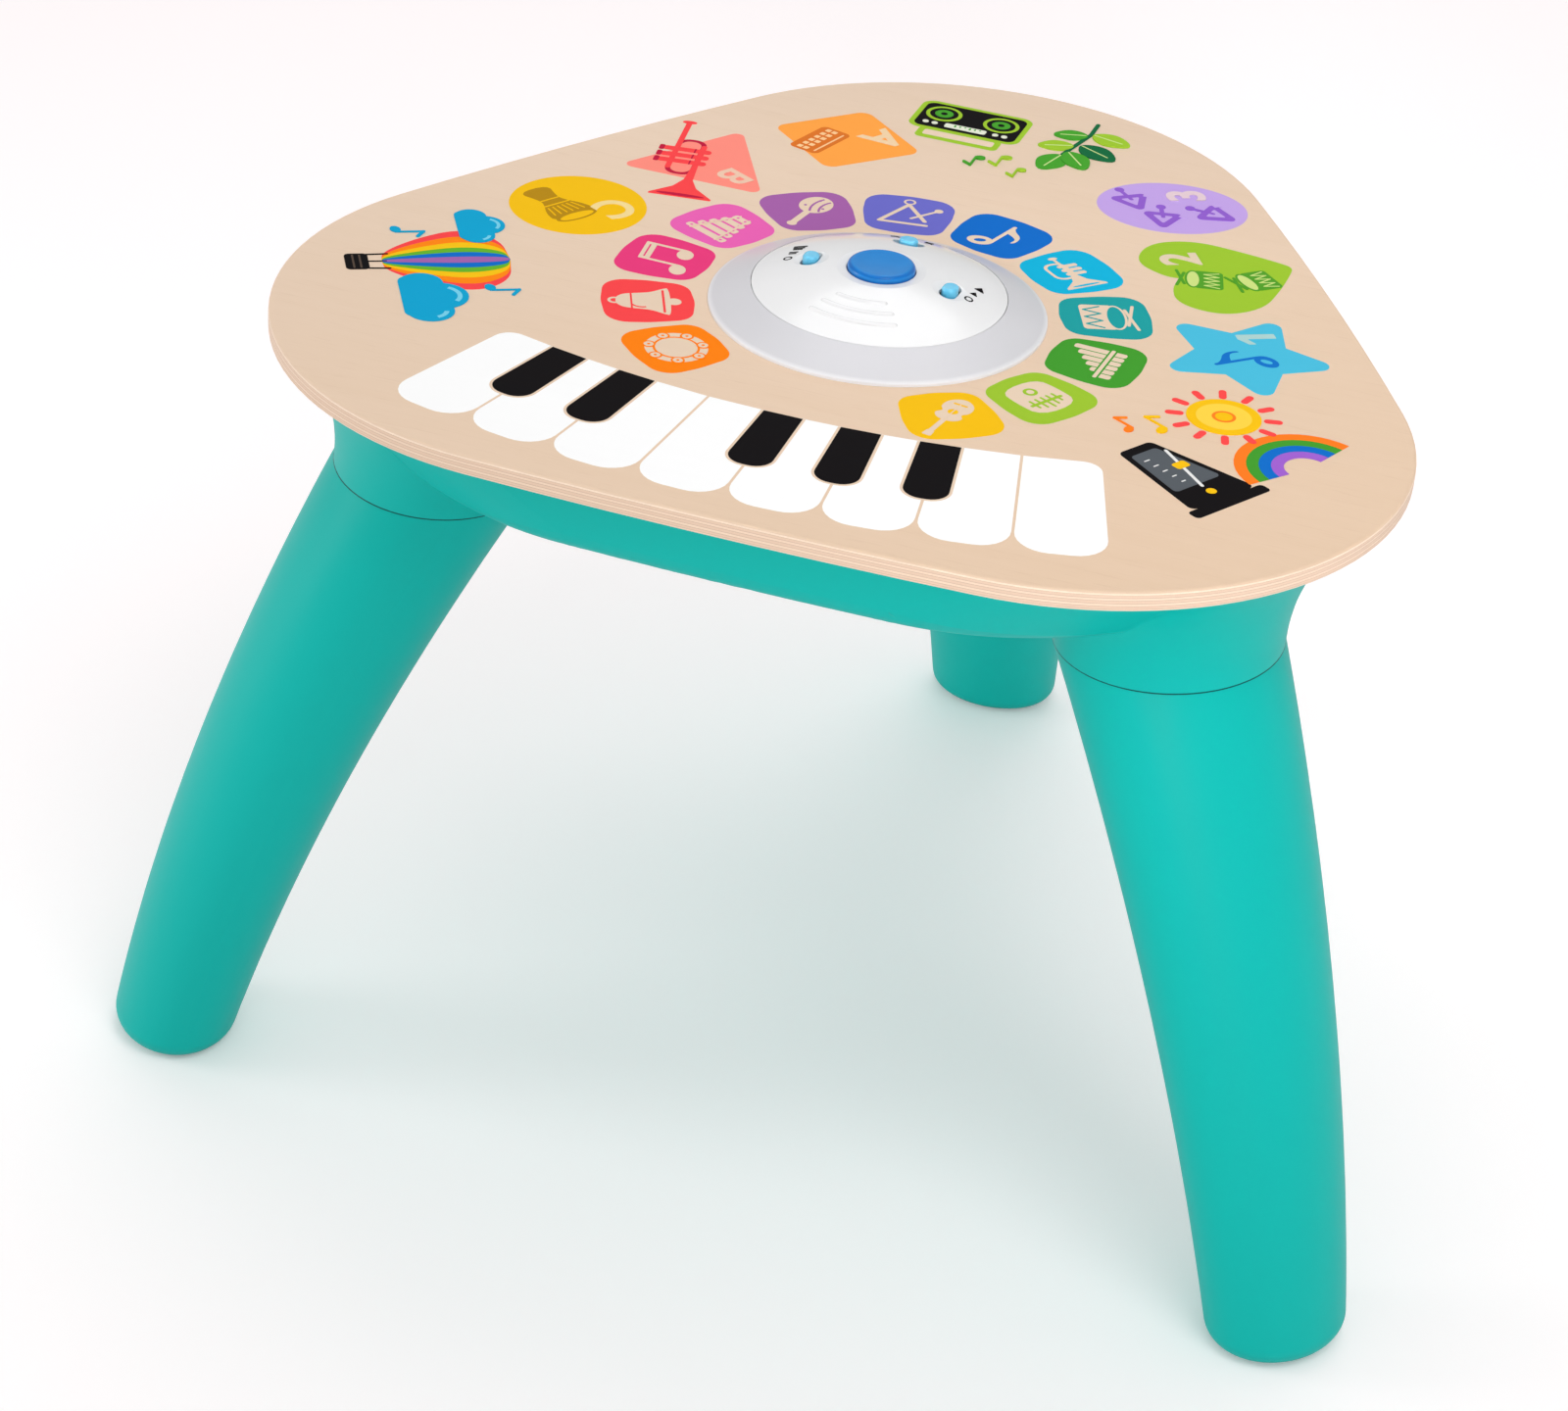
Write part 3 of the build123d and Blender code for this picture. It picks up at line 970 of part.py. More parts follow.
# ---- the whole table -----------------------------------------------------------------------------
def build():
    """All nodes, as lists of solids, about the dome's axis."""
    nodes = {
        "plywood_top": [make_plywood_top()],
        "touch_sensor_film": [make_touch_film()],
        "lower_body": [make_lower_body()],
        "top_screws": make_top_screws(),
        "light_ring": [make_light_ring()],
        "dome_cap": [make_dome_cap()],
        "dome_base": [make_dome_base()],
        "dome_screws": make_dome_screws(),
        "centre_button": [make_centre_button()],
        "button_contact_dome": [make_contact_dome()],
        "dome_board": [make_dome_board()],
        "dome_board_screws": make_dome_board_screws(),
        "ring_lamps": make_ring_lamps(),
        "slide_switch_cases": make_switch_cases(),
        "main_board": [make_main_board()],
        "main_board_parts": make_board_parts(),
        "main_board_screws": make_main_board_screws(),
        "speaker_frame": [make_speaker_frame()],
        "speaker_magnet": [make_speaker_magnet()],
        "speaker_cone": [make_speaker_cone()],
        "speaker_screws": make_speaker_screws(),
        "battery_contact_plates": make_contact_plates(),
        "battery_contact_springs": make_contact_springs(),
        "battery_door": [make_battery_door()],
        "battery_door_screw": [make_door_screw()],
        "dome_lead": [make_dome_lead()],
        "speaker_lead": [make_speaker_lead()],
        "battery_lead": [make_battery_lead()],
    }
    leg = make_leg()
    pad = make_foot_pad()
    for name, angle in CORNER_ANGLES.items():
        nodes["leg_" + name] = [Rot(0, 0, angle) * leg]
        nodes["foot_pad_" + name] = [Rot(0, 0, angle) * pad]
    for name, (distance, angle) in SLIDER_PLACES.items():
        nodes[name] = [make_slider(distance, angle)]
    for number, (y, way) in enumerate(cell_rows(), 1):
        nodes["battery_" + str(number)] = [make_cell(y, way)]
    return nodes


def single_solids(shapes):
    solids = []
    for shape in shapes:
        solids.extend(shape.solids())
    return solids


nodes = {name: single_solids(shapes) for name, shapes in build().items()}
box = Compound([solid for solids in nodes.values() for solid in solids]).bounding_box()
shift = -(box.min.Y + box.max.Y) / 2
for name, solids in nodes.items():
    moved = [Pos(0, shift, 0) * solid for solid in solids]
    shape = moved[0] if len(moved) == 1 else Compound(moved)
    export_step(shape, "parts/" + name + ".step")

# the places that the record gives, in metres
print("shift along Y", round(shift, 4), "height", round(box.max.Z, 3), "lowest", round(box.min.Z, 4))
print("size", [round(value, 2) for value in (box.size.X, box.size.Y, box.size.Z)])
print("door hinge", round(HINGE_Y + shift, 3), round(HINGE_Z, 3))
print("door screw", round(DOOR_SCREW_Y + shift, 3), "contact foot", round(DOME_BOARD_TOP, 3))
for name, angle in CORNER_ANGLES.items():
    place = polar(FOOT_SECTION[0], angle)
    print("pad", name, round(place.X, 3), round(place.Y + shift, 3))
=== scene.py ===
"""A toddler's music table: finishes, printed top, floor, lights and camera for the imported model.

Blender works in metres. Places on the printed top are given in millimetres from the dome's axis,
with +X to the right of a child at the piano keys and +Y away from it, and Print.spot turns them
into the model's own frame.
"""
from math import atan2, cos, hypot, pi, radians, sin, sqrt

import bmesh
import bpy
from mathutils import Matrix, Vector


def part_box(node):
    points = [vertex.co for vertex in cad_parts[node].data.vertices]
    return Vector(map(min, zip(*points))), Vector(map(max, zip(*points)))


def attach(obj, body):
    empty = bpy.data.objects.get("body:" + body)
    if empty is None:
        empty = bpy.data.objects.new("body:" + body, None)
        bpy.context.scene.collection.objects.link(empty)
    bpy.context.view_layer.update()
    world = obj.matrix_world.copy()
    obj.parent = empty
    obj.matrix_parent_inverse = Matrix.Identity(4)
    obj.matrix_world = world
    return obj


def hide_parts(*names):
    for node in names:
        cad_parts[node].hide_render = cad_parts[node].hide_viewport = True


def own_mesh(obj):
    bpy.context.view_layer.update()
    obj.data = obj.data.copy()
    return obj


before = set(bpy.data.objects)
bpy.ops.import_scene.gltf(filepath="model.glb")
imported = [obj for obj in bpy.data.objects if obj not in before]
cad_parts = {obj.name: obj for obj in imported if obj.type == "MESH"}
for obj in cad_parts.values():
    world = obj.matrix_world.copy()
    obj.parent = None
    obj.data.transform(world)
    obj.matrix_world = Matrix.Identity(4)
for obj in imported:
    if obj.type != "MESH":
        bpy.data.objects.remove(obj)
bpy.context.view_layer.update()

MM = 0.001
RING_LOW, RING_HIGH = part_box("light_ring")
CAP_LOW, CAP_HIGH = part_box("dome_cap")
BUTTON_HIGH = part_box("centre_button")[1]
PLY_LOW, PLY_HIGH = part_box("plywood_top")
AXIS_Y = (RING_LOW.y + RING_HIGH.y) / 2  # the dome's axis; its X is 0
TOP_Z = PLY_HIGH.z
SEAM_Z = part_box("lower_body")[0].z  # where the legs meet their sockets


def add_object(name, data):
    """Puts an object with this data into the scene."""
    made = bpy.data.objects.new(name, data)
    bpy.context.scene.collection.objects.link(made)
    return made


# ---- camera and lights ----
CAMERA_AZIMUTH = 16.62
CAMERA_ELEVATION = 31.82
CAMERA_DISTANCE = 1.7605
CAMERA_AIM = Vector((-0.0284, 0.0077 + AXIS_Y, 0.1443))
CAMERA_ROLL = 4.94
CAMERA_LENS = 88.77
SENSOR_WIDTH = 36.0
TABLE_MIDDLE = (0.0, 0.0, 0.2)
WIDE, NARROW = 180, 24  # how far a softbox's light spreads, in degrees
SOFTBOXES = [  # name, place, the point it faces, width in metres, power in watts, spread
    ("key_softbox", (0.8, -1.0, 2.0), TABLE_MIDDLE, 1.2, 11.5, WIDE),
    ("left_softbox", (-2.0, -0.7, 0.7), TABLE_MIDDLE, 0.9, 9.4, WIDE),
    ("right_softbox", (2.0, -0.9, 0.9), TABLE_MIDDLE, 0.9, 0.3, WIDE),
    ("front_softbox", (0.95, -2.1, 0.95), (0.36, -0.1, 0.55), 0.8, 1.0, NARROW),
    ("top_softbox", (-0.2, 0.8, 2.0), TABLE_MIDDLE, 1.5, 8.1, WIDE),
]


def add_camera():
    azimuth, elevation = radians(CAMERA_AZIMUTH), radians(CAMERA_ELEVATION)
    back = Vector((sin(azimuth) * cos(elevation), -cos(azimuth) * cos(elevation), sin(elevation)))
    level_right = Vector((0, 0, 1)).cross(back).normalized()
    level_up = back.cross(level_right)
    roll = radians(CAMERA_ROLL)
    right = cos(roll) * level_right + sin(roll) * level_up
    up = cos(roll) * level_up - sin(roll) * level_right
    data = bpy.data.cameras.new("camera")
    data.lens = CAMERA_LENS
    data.sensor_width = SENSOR_WIDTH
    camera = add_object("camera", data)
    turn = Matrix((right, up, back)).transposed().to_4x4()
    camera.matrix_world = Matrix.Translation(CAMERA_AIM + back * CAMERA_DISTANCE) @ turn
    bpy.context.scene.camera = camera


def add_softbox(name, place, aim, width, power, spread):
    """A round area lamp that faces a point; a narrow one lights but leaves no glare."""
    data = bpy.data.lights.new(name, "AREA")
    data.shape = "DISK"
    data.size = width
    data.energy = power
    data.spread = radians(spread)
    lamp = add_object(name, data)
    lamp.visible_glossy = spread == WIDE
    away = Vector(place) - Vector(aim)
    turn = away.to_track_quat("Z", "Y").to_matrix().to_4x4()
    lamp.matrix_world = Matrix.Translation(place) @ turn


# ---- finishes ----
GRAIN_TURN = 8  # degrees
SEAM_LINE = 0.00028  # half the height of the dark line where a leg meets its socket
RING_HIGHLIGHT_WIDTH = 0.0022  # width of the highlight painted along the ring's outer lip
BUTTON_SIDE_SHADE = (0.0010, 0.0030)  # depths at which the shade painted on the button's side begins and is full
PLY_STARTS = (0.165, 0.30, 0.435, 0.585, 0.715, 0.855)  # as shares of the board's thickness
GLUE_LINE = 0.015
JACKET_BAND = (0.0150, 0.0235)  # measured from the middle of a battery
JACKET_END = 0.0240
NO_AREA = 1e-12  # square metres
SPOILT_COSINE = 0.5  # a corner's normal that leans further than this from its face is spoilt


def srgb(red, green, blue):
    """A colour picked on a screen, 0 to 255, as the linear colour that shaders take."""
    linear = []
    for channel in (red, green, blue):
        share = channel / 255
        linear.append(share / 12.92 if share <= 0.04045 else ((share + 0.055) / 1.055) ** 2.4)
    return (*linear, 1.0)


class Value:
    """A socket in a finish; arithmetic on it adds Math nodes."""

    def __init__(self, finish, socket):
        self.finish = finish
        self.socket = socket

    def __add__(self, other):
        return self.finish.math("ADD", self, other)

    def __sub__(self, other):
        return self.finish.math("SUBTRACT", self, other)

    def __rsub__(self, other):
        return self.finish.math("SUBTRACT", other, self)

    def __mul__(self, other):
        return self.finish.math("MULTIPLY", self, other)

    def __truediv__(self, other):
        return self.finish.math("DIVIDE", self, other)

    def __gt__(self, other):
        return self.finish.math("GREATER_THAN", self, other)

    def __lt__(self, other):
        return self.finish.math("LESS_THAN", self, other)

    __radd__ = __add__


class Finish:
    """A material that is built by expressions."""

    def __init__(self, name):
        self.material = bpy.data.materials.new(name)
        self.material.use_nodes = True
        self.tree = self.material.node_tree
        self.tree.nodes.clear()

    def node(self, kind, settings=None, inputs=None, output=0):
        """Adds a node with its settings and inputs, and gives one of its outputs."""
        made = self.tree.nodes.new(kind)
        for name, setting in (settings or {}).items():
            setattr(made, name, setting)
        for name, given in (inputs or {}).items():
            if isinstance(given, Value):
                self.tree.links.new(given.socket, made.inputs[name])
            else:
                made.inputs[name].default_value = given
        return Value(self, made.outputs[output]) if made.outputs else None

    def math(self, operation, first, second=0.0):
        return self.node("ShaderNodeMath", {"operation": operation}, {0: first, 1: second})

    def clamp(self, value):
        """Keeps a value between 0 and 1."""
        return self.node("ShaderNodeClamp", {}, {"Value": value})

    def place(self, stretch=(1, 1, 1), turn=0.0):
        """Object coordinates in metres, stretched along each axis and turned about Z."""
        coordinates = self.node("ShaderNodeTexCoord", output="Object")
        return self.node("ShaderNodeMapping", {}, {
            "Vector": coordinates, "Scale": stretch, "Rotation": (0, 0, radians(turn))})

    def axis(self, letter):
        coordinates = self.node("ShaderNodeTexCoord", output="Object")
        return self.node("ShaderNodeSeparateXYZ", {}, {"Vector": coordinates}, output=letter)

    def noise(self, scale, detail=2.0, roughness=0.5, stretch=(1, 1, 1), turn=0.0):
        return self.node("ShaderNodeTexNoise", {}, {
            "Vector": self.place(stretch, turn), "Scale": scale, "Detail": detail,
            "Roughness": roughness})

    def wood_grain(self):
        return self.noise(9, detail=7, roughness=0.62, stretch=(1, 14, 14), turn=GRAIN_TURN)

    def ramp(self, factor, stops, interpolation="LINEAR"):
        """A colour that follows the stops, which are positions with colours."""
        made = self.node("ShaderNodeValToRGB", {}, {"Fac": factor})
        ramp = made.socket.node.color_ramp
        ramp.interpolation = interpolation
        while len(ramp.elements) < len(stops):
            ramp.elements.new(1.0)
        for element, (position, colour) in zip(ramp.elements, stops):
            element.position = position
            element.color = colour
        return made

    def mix(self, factor, first, second):
        """Mixes two colours."""
        inputs = {0: factor, 6: first, 7: second}
        return self.node("ShaderNodeMix", {"data_type": "RGBA"}, inputs, output=2)

    def ink(self):
        """The colour that a printed motif has at each corner."""
        return self.node("ShaderNodeAttribute", {"attribute_name": "ink"}, output="Color")

    def distance_from_axis(self):
        """Distance from the dome's axis."""
        x = self.axis("X")
        y = self.axis("Y") - AXIS_Y
        return self.math("SQRT", x * x + y * y)

    def bump(self, height, strength, distance):
        return self.node("ShaderNodeBump", {}, {
            "Height": height, "Strength": strength, "Distance": distance})

    def surface(self, colour, roughness, normal=None, **others):
        """Ends the finish in one shader; others are further sockets, with _ for a space."""
        inputs = {"Base Color": colour, "Roughness": roughness}
        if normal is not None:
            inputs["Normal"] = normal
        for name, given in others.items():
            inputs[name.replace("_", " ").title().replace("Ior", "IOR")] = given
        shader = self.node("ShaderNodeBsdfPrincipled", {}, inputs)
        self.node("ShaderNodeOutputMaterial", {}, {"Surface": shader})
        return self.material


def maple_plywood():
    """Pale maple veneer under matt lacquer, with its plies showing along the edge.

    Shade is painted on the veneer: it turns warmer and a little darker towards the front right, and
    darker towards the far side.
    """
    finish = Finish("maple_plywood")
    # painted shade: the veneer turns warmer and a little darker towards the front right
    shade_slant = finish.clamp((finish.axis("X") - finish.axis("Y")) * 1.4 + 0.4)
    pale = finish.mix(shade_slant, srgb(237, 213, 192), srgb(231, 203, 176))
    warm = finish.mix(shade_slant, srgb(228, 202, 176), srgb(221, 190, 159))
    clouds = finish.noise(7, detail=3, stretch=(0.6, 1, 1), turn=GRAIN_TURN)
    grain = finish.wood_grain()
    flecks = finish.noise(60, stretch=(1, 16, 1), turn=GRAIN_TURN)
    veneer = finish.mix(clouds * 0.5 + grain * 0.5, pale, warm)
    fleck = finish.ramp(flecks, [(0.60, (0, 0, 0, 1)), (0.72, (1, 1, 1, 1))])
    veneer = finish.mix(fleck * 0.10, veneer, srgb(190, 150, 118))
    # painted shade: the veneer darkens towards the far side
    far = finish.clamp(finish.axis("Y") * 3.6 - 0.2)
    veneer = finish.mix(far * 0.24, veneer, srgb(158, 132, 110))
    height = (finish.axis("Z") - PLY_LOW.z) / (PLY_HIGH.z - PLY_LOW.z)
    light, dark, line = srgb(246, 222, 200), srgb(236, 208, 183), srgb(184, 147, 116)
    plies = [(0.0, light)]
    # the top ply is painted lighter, a highlight along the board's top edge
    for start, tone in zip(PLY_STARTS, (dark, light, dark, light, dark, srgb(252, 231, 210))):
        plies += [(start - GLUE_LINE, line), (start, tone)]
    wave = finish.noise(30) * 0.02
    edge = finish.ramp(height + wave - 0.01, plies, "CONSTANT")
    fibre = finish.noise(900, stretch=(1, 1, 0.5))
    edge = finish.mix(fibre * 0.35, edge, srgb(228, 196, 168))
    on_edge = height < 0.93
    on_underside = height < 0.01
    colour = finish.mix(on_edge * (1 - on_underside), veneer, edge)
    normal = finish.bump(grain * 0.6 + flecks * 0.4, 0.12, 0.0002)
    return finish.surface(colour, 0.46 + grain * 0.1, normal, specular_ior_level=0.3)


def satin_teal():
    """Moulded plastic with a fine spark-eroded texture."""
    finish = Finish("satin_teal")
    tint = finish.noise(3)
    colour = finish.mix(tint, srgb(0, 186, 176), srgb(0, 193, 184))
    from_seam = finish.math("ABSOLUTE", finish.axis("Z") - SEAM_Z)
    colour = finish.mix(from_seam < SEAM_LINE, colour, srgb(4, 80, 76))
    pores = finish.noise(2600, roughness=0.6)
    normal = finish.bump(pores, 0.10, 0.00004)
    return finish.surface(colour, 0.40 + pores * 0.08, normal, specular_ior_level=0.16)


def glossy_white():
    """Polished plastic that is a little uneven, as moulding leaves it."""
    finish = Finish("glossy_white")
    ripple = finish.noise(45, detail=1)
    colour = finish.mix(ripple, srgb(231, 231, 232), srgb(235, 235, 236))
    normal = finish.bump(ripple, 0.02, 0.0003)
    return finish.surface(colour, 0.16 + ripple * 0.03, normal, coat_weight=0.35,
                          coat_roughness=0.05)


def frosted_ring():
    """Pale translucent plastic over lamps, with a highlight painted along its outer lip."""
    finish = Finish("frosted_ring")
    # painted highlight: the outer lip is lightened towards white
    edge = finish.clamp((finish.distance_from_axis() - (RING_HIGH.x - RING_HIGHLIGHT_WIDTH)) / RING_HIGHLIGHT_WIDTH)
    haze = finish.noise(22)
    colour = finish.mix(haze, srgb(203, 203, 208), srgb(212, 211, 215))
    colour = finish.mix(edge * 0.7, colour, srgb(240, 240, 243))
    return finish.surface(colour, 0.30 + haze * 0.05, coat_weight=0.25, coat_roughness=0.12)


def blue_button():
    """Translucent blue: milky in the dish, with a ring of painted shade round it, a painted
    highlight inside the rim, and painted shade down its side.
    """
    finish = Finish("blue_button")
    begins, full = BUTTON_SIDE_SHADE
    # painted shade: the button's side darkens below its top
    side = finish.node("ShaderNodeMapRange", {"interpolation_type": "SMOOTHSTEP"}, {
        "Value": BUTTON_HIGH.z - finish.axis("Z"), "From Min": begins, "From Max": full})
    streak = finish.noise(160)
    # painted shade rings the dish's edge, and a painted highlight runs just inside the rim
    dish, deep, painted_highlight = srgb(0, 124, 202), srgb(0, 92, 178), srgb(56, 168, 240)
    rim = srgb(0, 140, 228)
    colour = finish.ramp(finish.distance_from_axis() / BUTTON_HIGH.x, [
        (0.0, dish), (0.76, dish), (0.80, deep), (0.84, deep), (0.88, painted_highlight), (0.94, rim),
        (1.0, rim)])
    colour = finish.mix(streak * 0.5, colour, srgb(16, 140, 216))
    colour = finish.mix(side, colour, srgb(0, 98, 180))
    return finish.surface(colour, 0.13 + streak * 0.04, specular_ior_level=0.28)


def sky_knob():
    """Clear-looking plastic that is cloudy inside."""
    finish = Finish("sky_knob")
    cloud = finish.noise(240, detail=1)
    colour = finish.mix(cloud, srgb(66, 186, 232), srgb(124, 214, 246))
    return finish.surface(colour, 0.10 + cloud * 0.05, coat_weight=0.6, coat_roughness=0.04)


def printed_ink():
    """Flat ink under the same lacquer as the veneer, which telegraphs faintly through it."""
    finish = Finish("printed_ink")
    grain = finish.wood_grain()
    colour = finish.mix(grain * 0.03, finish.ink(), srgb(90, 60, 44))
    normal = finish.bump(grain, 0.05, 0.0002)
    return finish.surface(colour, 0.55 + grain * 0.08, normal, specular_ior_level=0.04)


def foot_rubber():
    finish = Finish("foot_rubber")
    pores = finish.noise(1800)
    colour = finish.mix(pores, srgb(70, 84, 84), srgb(88, 102, 101))
    return finish.surface(colour, 0.75 + pores * 0.1, finish.bump(pores, 0.2, 0.00008))


def plated_metal(name, dark, light, roughness):
    finish = Finish(name)
    brushed = finish.noise(900, detail=3, stretch=(1, 1, 12))
    colour = finish.mix(brushed, srgb(*dark), srgb(*light))
    return finish.surface(colour, brushed * 0.12 + roughness, metallic=1.0)


def moulded(name, dark, light, roughness, scale=600):
    """Plain plastic, rubber, paper or film in two close shades with fine pores."""
    finish = Finish(name)
    pores = finish.noise(scale)
    colour = finish.mix(pores, srgb(*dark), srgb(*light))
    return finish.surface(colour, pores * 0.1 + roughness, finish.bump(pores, 0.1, 0.00005))


def circuit_board():
    """Green resist with a faint grid of tracks."""
    finish = Finish("circuit_board")
    x_wave = finish.math("FRACT", finish.axis("X") * 310)
    y_wave = finish.math("FRACT", finish.axis("Y") * 190)
    patch = finish.noise(55, detail=0) > 0.5
    track = (x_wave > 0.72) * patch + (y_wave > 0.72) * (1 - patch)
    colour = finish.mix(track * 0.6, srgb(14, 84, 44), srgb(38, 122, 66))
    return finish.surface(colour, 0.35 + track * 0.05, finish.bump(track, 0.2, 0.00004))


def battery_jacket():
    """A plain dark jacket with a copper-coloured band by each end, and steel ends."""
    finish = Finish("battery_jacket")
    along = finish.math("ABSOLUTE", finish.axis("X"))
    scuff = finish.noise(300)
    colour = finish.mix(scuff * 0.3, srgb(38, 42, 50), srgb(66, 70, 78))
    band = (along > JACKET_BAND[0]) * (along < JACKET_BAND[1])
    colour = finish.mix(band, colour, srgb(188, 112, 62))
    end = along > JACKET_END
    colour = finish.mix(end, colour, srgb(190, 192, 196))
    return finish.surface(colour, 0.32 + scuff * 0.1, metallic=end * 0.9 + band * 0.5)


def mend_shading(mesh):
    """Drops faces without area, and gives corners that they spoil the normal of their own face."""
    def spoilt_corners():
        return [(corner, face) for face in mesh.polygons for corner in face.loop_indices
                if mesh.corner_normals[corner].vector.dot(face.normal) < SPOILT_COSINE]

    if not spoilt_corners():
        return
    shell = bmesh.new()
    shell.from_mesh(mesh)
    flat = [face for face in shell.faces if face.calc_area() < NO_AREA]
    bmesh.ops.delete(shell, geom=flat, context="FACES_ONLY")
    shell.to_mesh(mesh)
    shell.free()
    normals = [corner.vector.copy() for corner in mesh.corner_normals]
    for corner, face in spoilt_corners():
        normals[corner] = face.normal.copy()
    mesh.normals_split_custom_set(normals)


def finish_cad_nodes():
    """Mends each node's shading and gives the node its finish."""
    teal = satin_teal()
    steel = plated_metal("zinc_plated_steel", (150, 152, 156), (196, 198, 202), 0.26)
    nickel = plated_metal("nickel_plated_steel", (176, 176, 174), (214, 214, 210), 0.2)
    black = moulded("black_plastic", (22, 22, 23), (34, 34, 35), 0.5)
    board = circuit_board()
    lead = moulded("lead_insulation", (150, 24, 20), (176, 36, 30), 0.45)
    finishes = {
        "plywood_top": maple_plywood(), "lower_body": teal, "battery_door": teal,
        "light_ring": frosted_ring(), "dome_cap": glossy_white(), "centre_button": blue_button(),
        "dome_base": black, "dome_board": board, "main_board": board, "main_board_parts": black,
        "speaker_frame": nickel, "slide_switch_cases": nickel,
        "touch_sensor_film": moulded("sensor_film", (196, 176, 120), (210, 190, 136), 0.4, 200),
        "button_contact_dome": moulded("silicone", (196, 196, 194), (212, 212, 210), 0.5),
        "ring_lamps": moulded("lamp_white", (226, 222, 204), (240, 236, 220), 0.3),
        "speaker_magnet": moulded("ferrite", (44, 44, 47), (62, 62, 65), 0.55, 400),
        "speaker_cone": moulded("cone_paper", (30, 30, 31), (46, 46, 47), 0.8, 300),
    }
    kinds = [  # any other node takes the first of these that is in its name
        ("screw", steel), ("leg_", teal), ("foot_pad_", foot_rubber()), ("_slider", sky_knob()),
        ("_lead", lead), ("battery_contact_", nickel), ("battery_", battery_jacket()),
    ]
    for name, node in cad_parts.items():
        finish = finishes.get(name) or next(made for part, made in kinds if part in name)
        mend_shading(node.data)
        node.data.materials.clear()
        node.data.materials.append(finish)


def add_contact_dome():
    """The silicone dome under the button, copied into a piece of its own that moves with the table;
    the real dome flattens as the button goes down on it.
    """
    piece = add_object("silicone_dome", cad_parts["button_contact_dome"].data.copy())
    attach(piece, "table")
    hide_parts("button_contact_dome")
    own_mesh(piece)


# ---- printing ----
# All lengths from here to the floor are in millimetres.
INK_LAYER = 0.03  # thickness of each printed layer
INK_STEP = 0.003  # rise from one outline of a layer to the next, so that no faces share a plane
INK_STEPS = 9  # outlines before the rise begins again
INK_DEPTH = 0.04  # how far the ink reaches into the wood
CAP_INK_DEPTH = 0.3
CAP_RIM = 9.2  # heights of the cap's rim and of its crown above the top
CAP_CROWN = 20.0
LETTER_WEIGHT = 0.03  # how much bolder a letter is than the font, as a share of its size
LETTER_WEIGHTS = {"B": 0.018}  # the font's B closes up when it is bolder
LETTER_WELD = 1e-4  # corners closer than this share of a letter's size become one
WOOD = (231, 207, 183)
BLACK = (5, 4, 8)


def cap_height(distance):
    """Height of the cap's face above the top at a distance from the dome's axis."""
    rim_radius = (CAP_HIGH.x - CAP_LOW.x) / 2 / MM
    rise = CAP_CROWN - CAP_RIM
    ball = (rim_radius**2 + rise**2) / (2 * rise)
    return CAP_CROWN - ball + sqrt(ball**2 - distance**2)


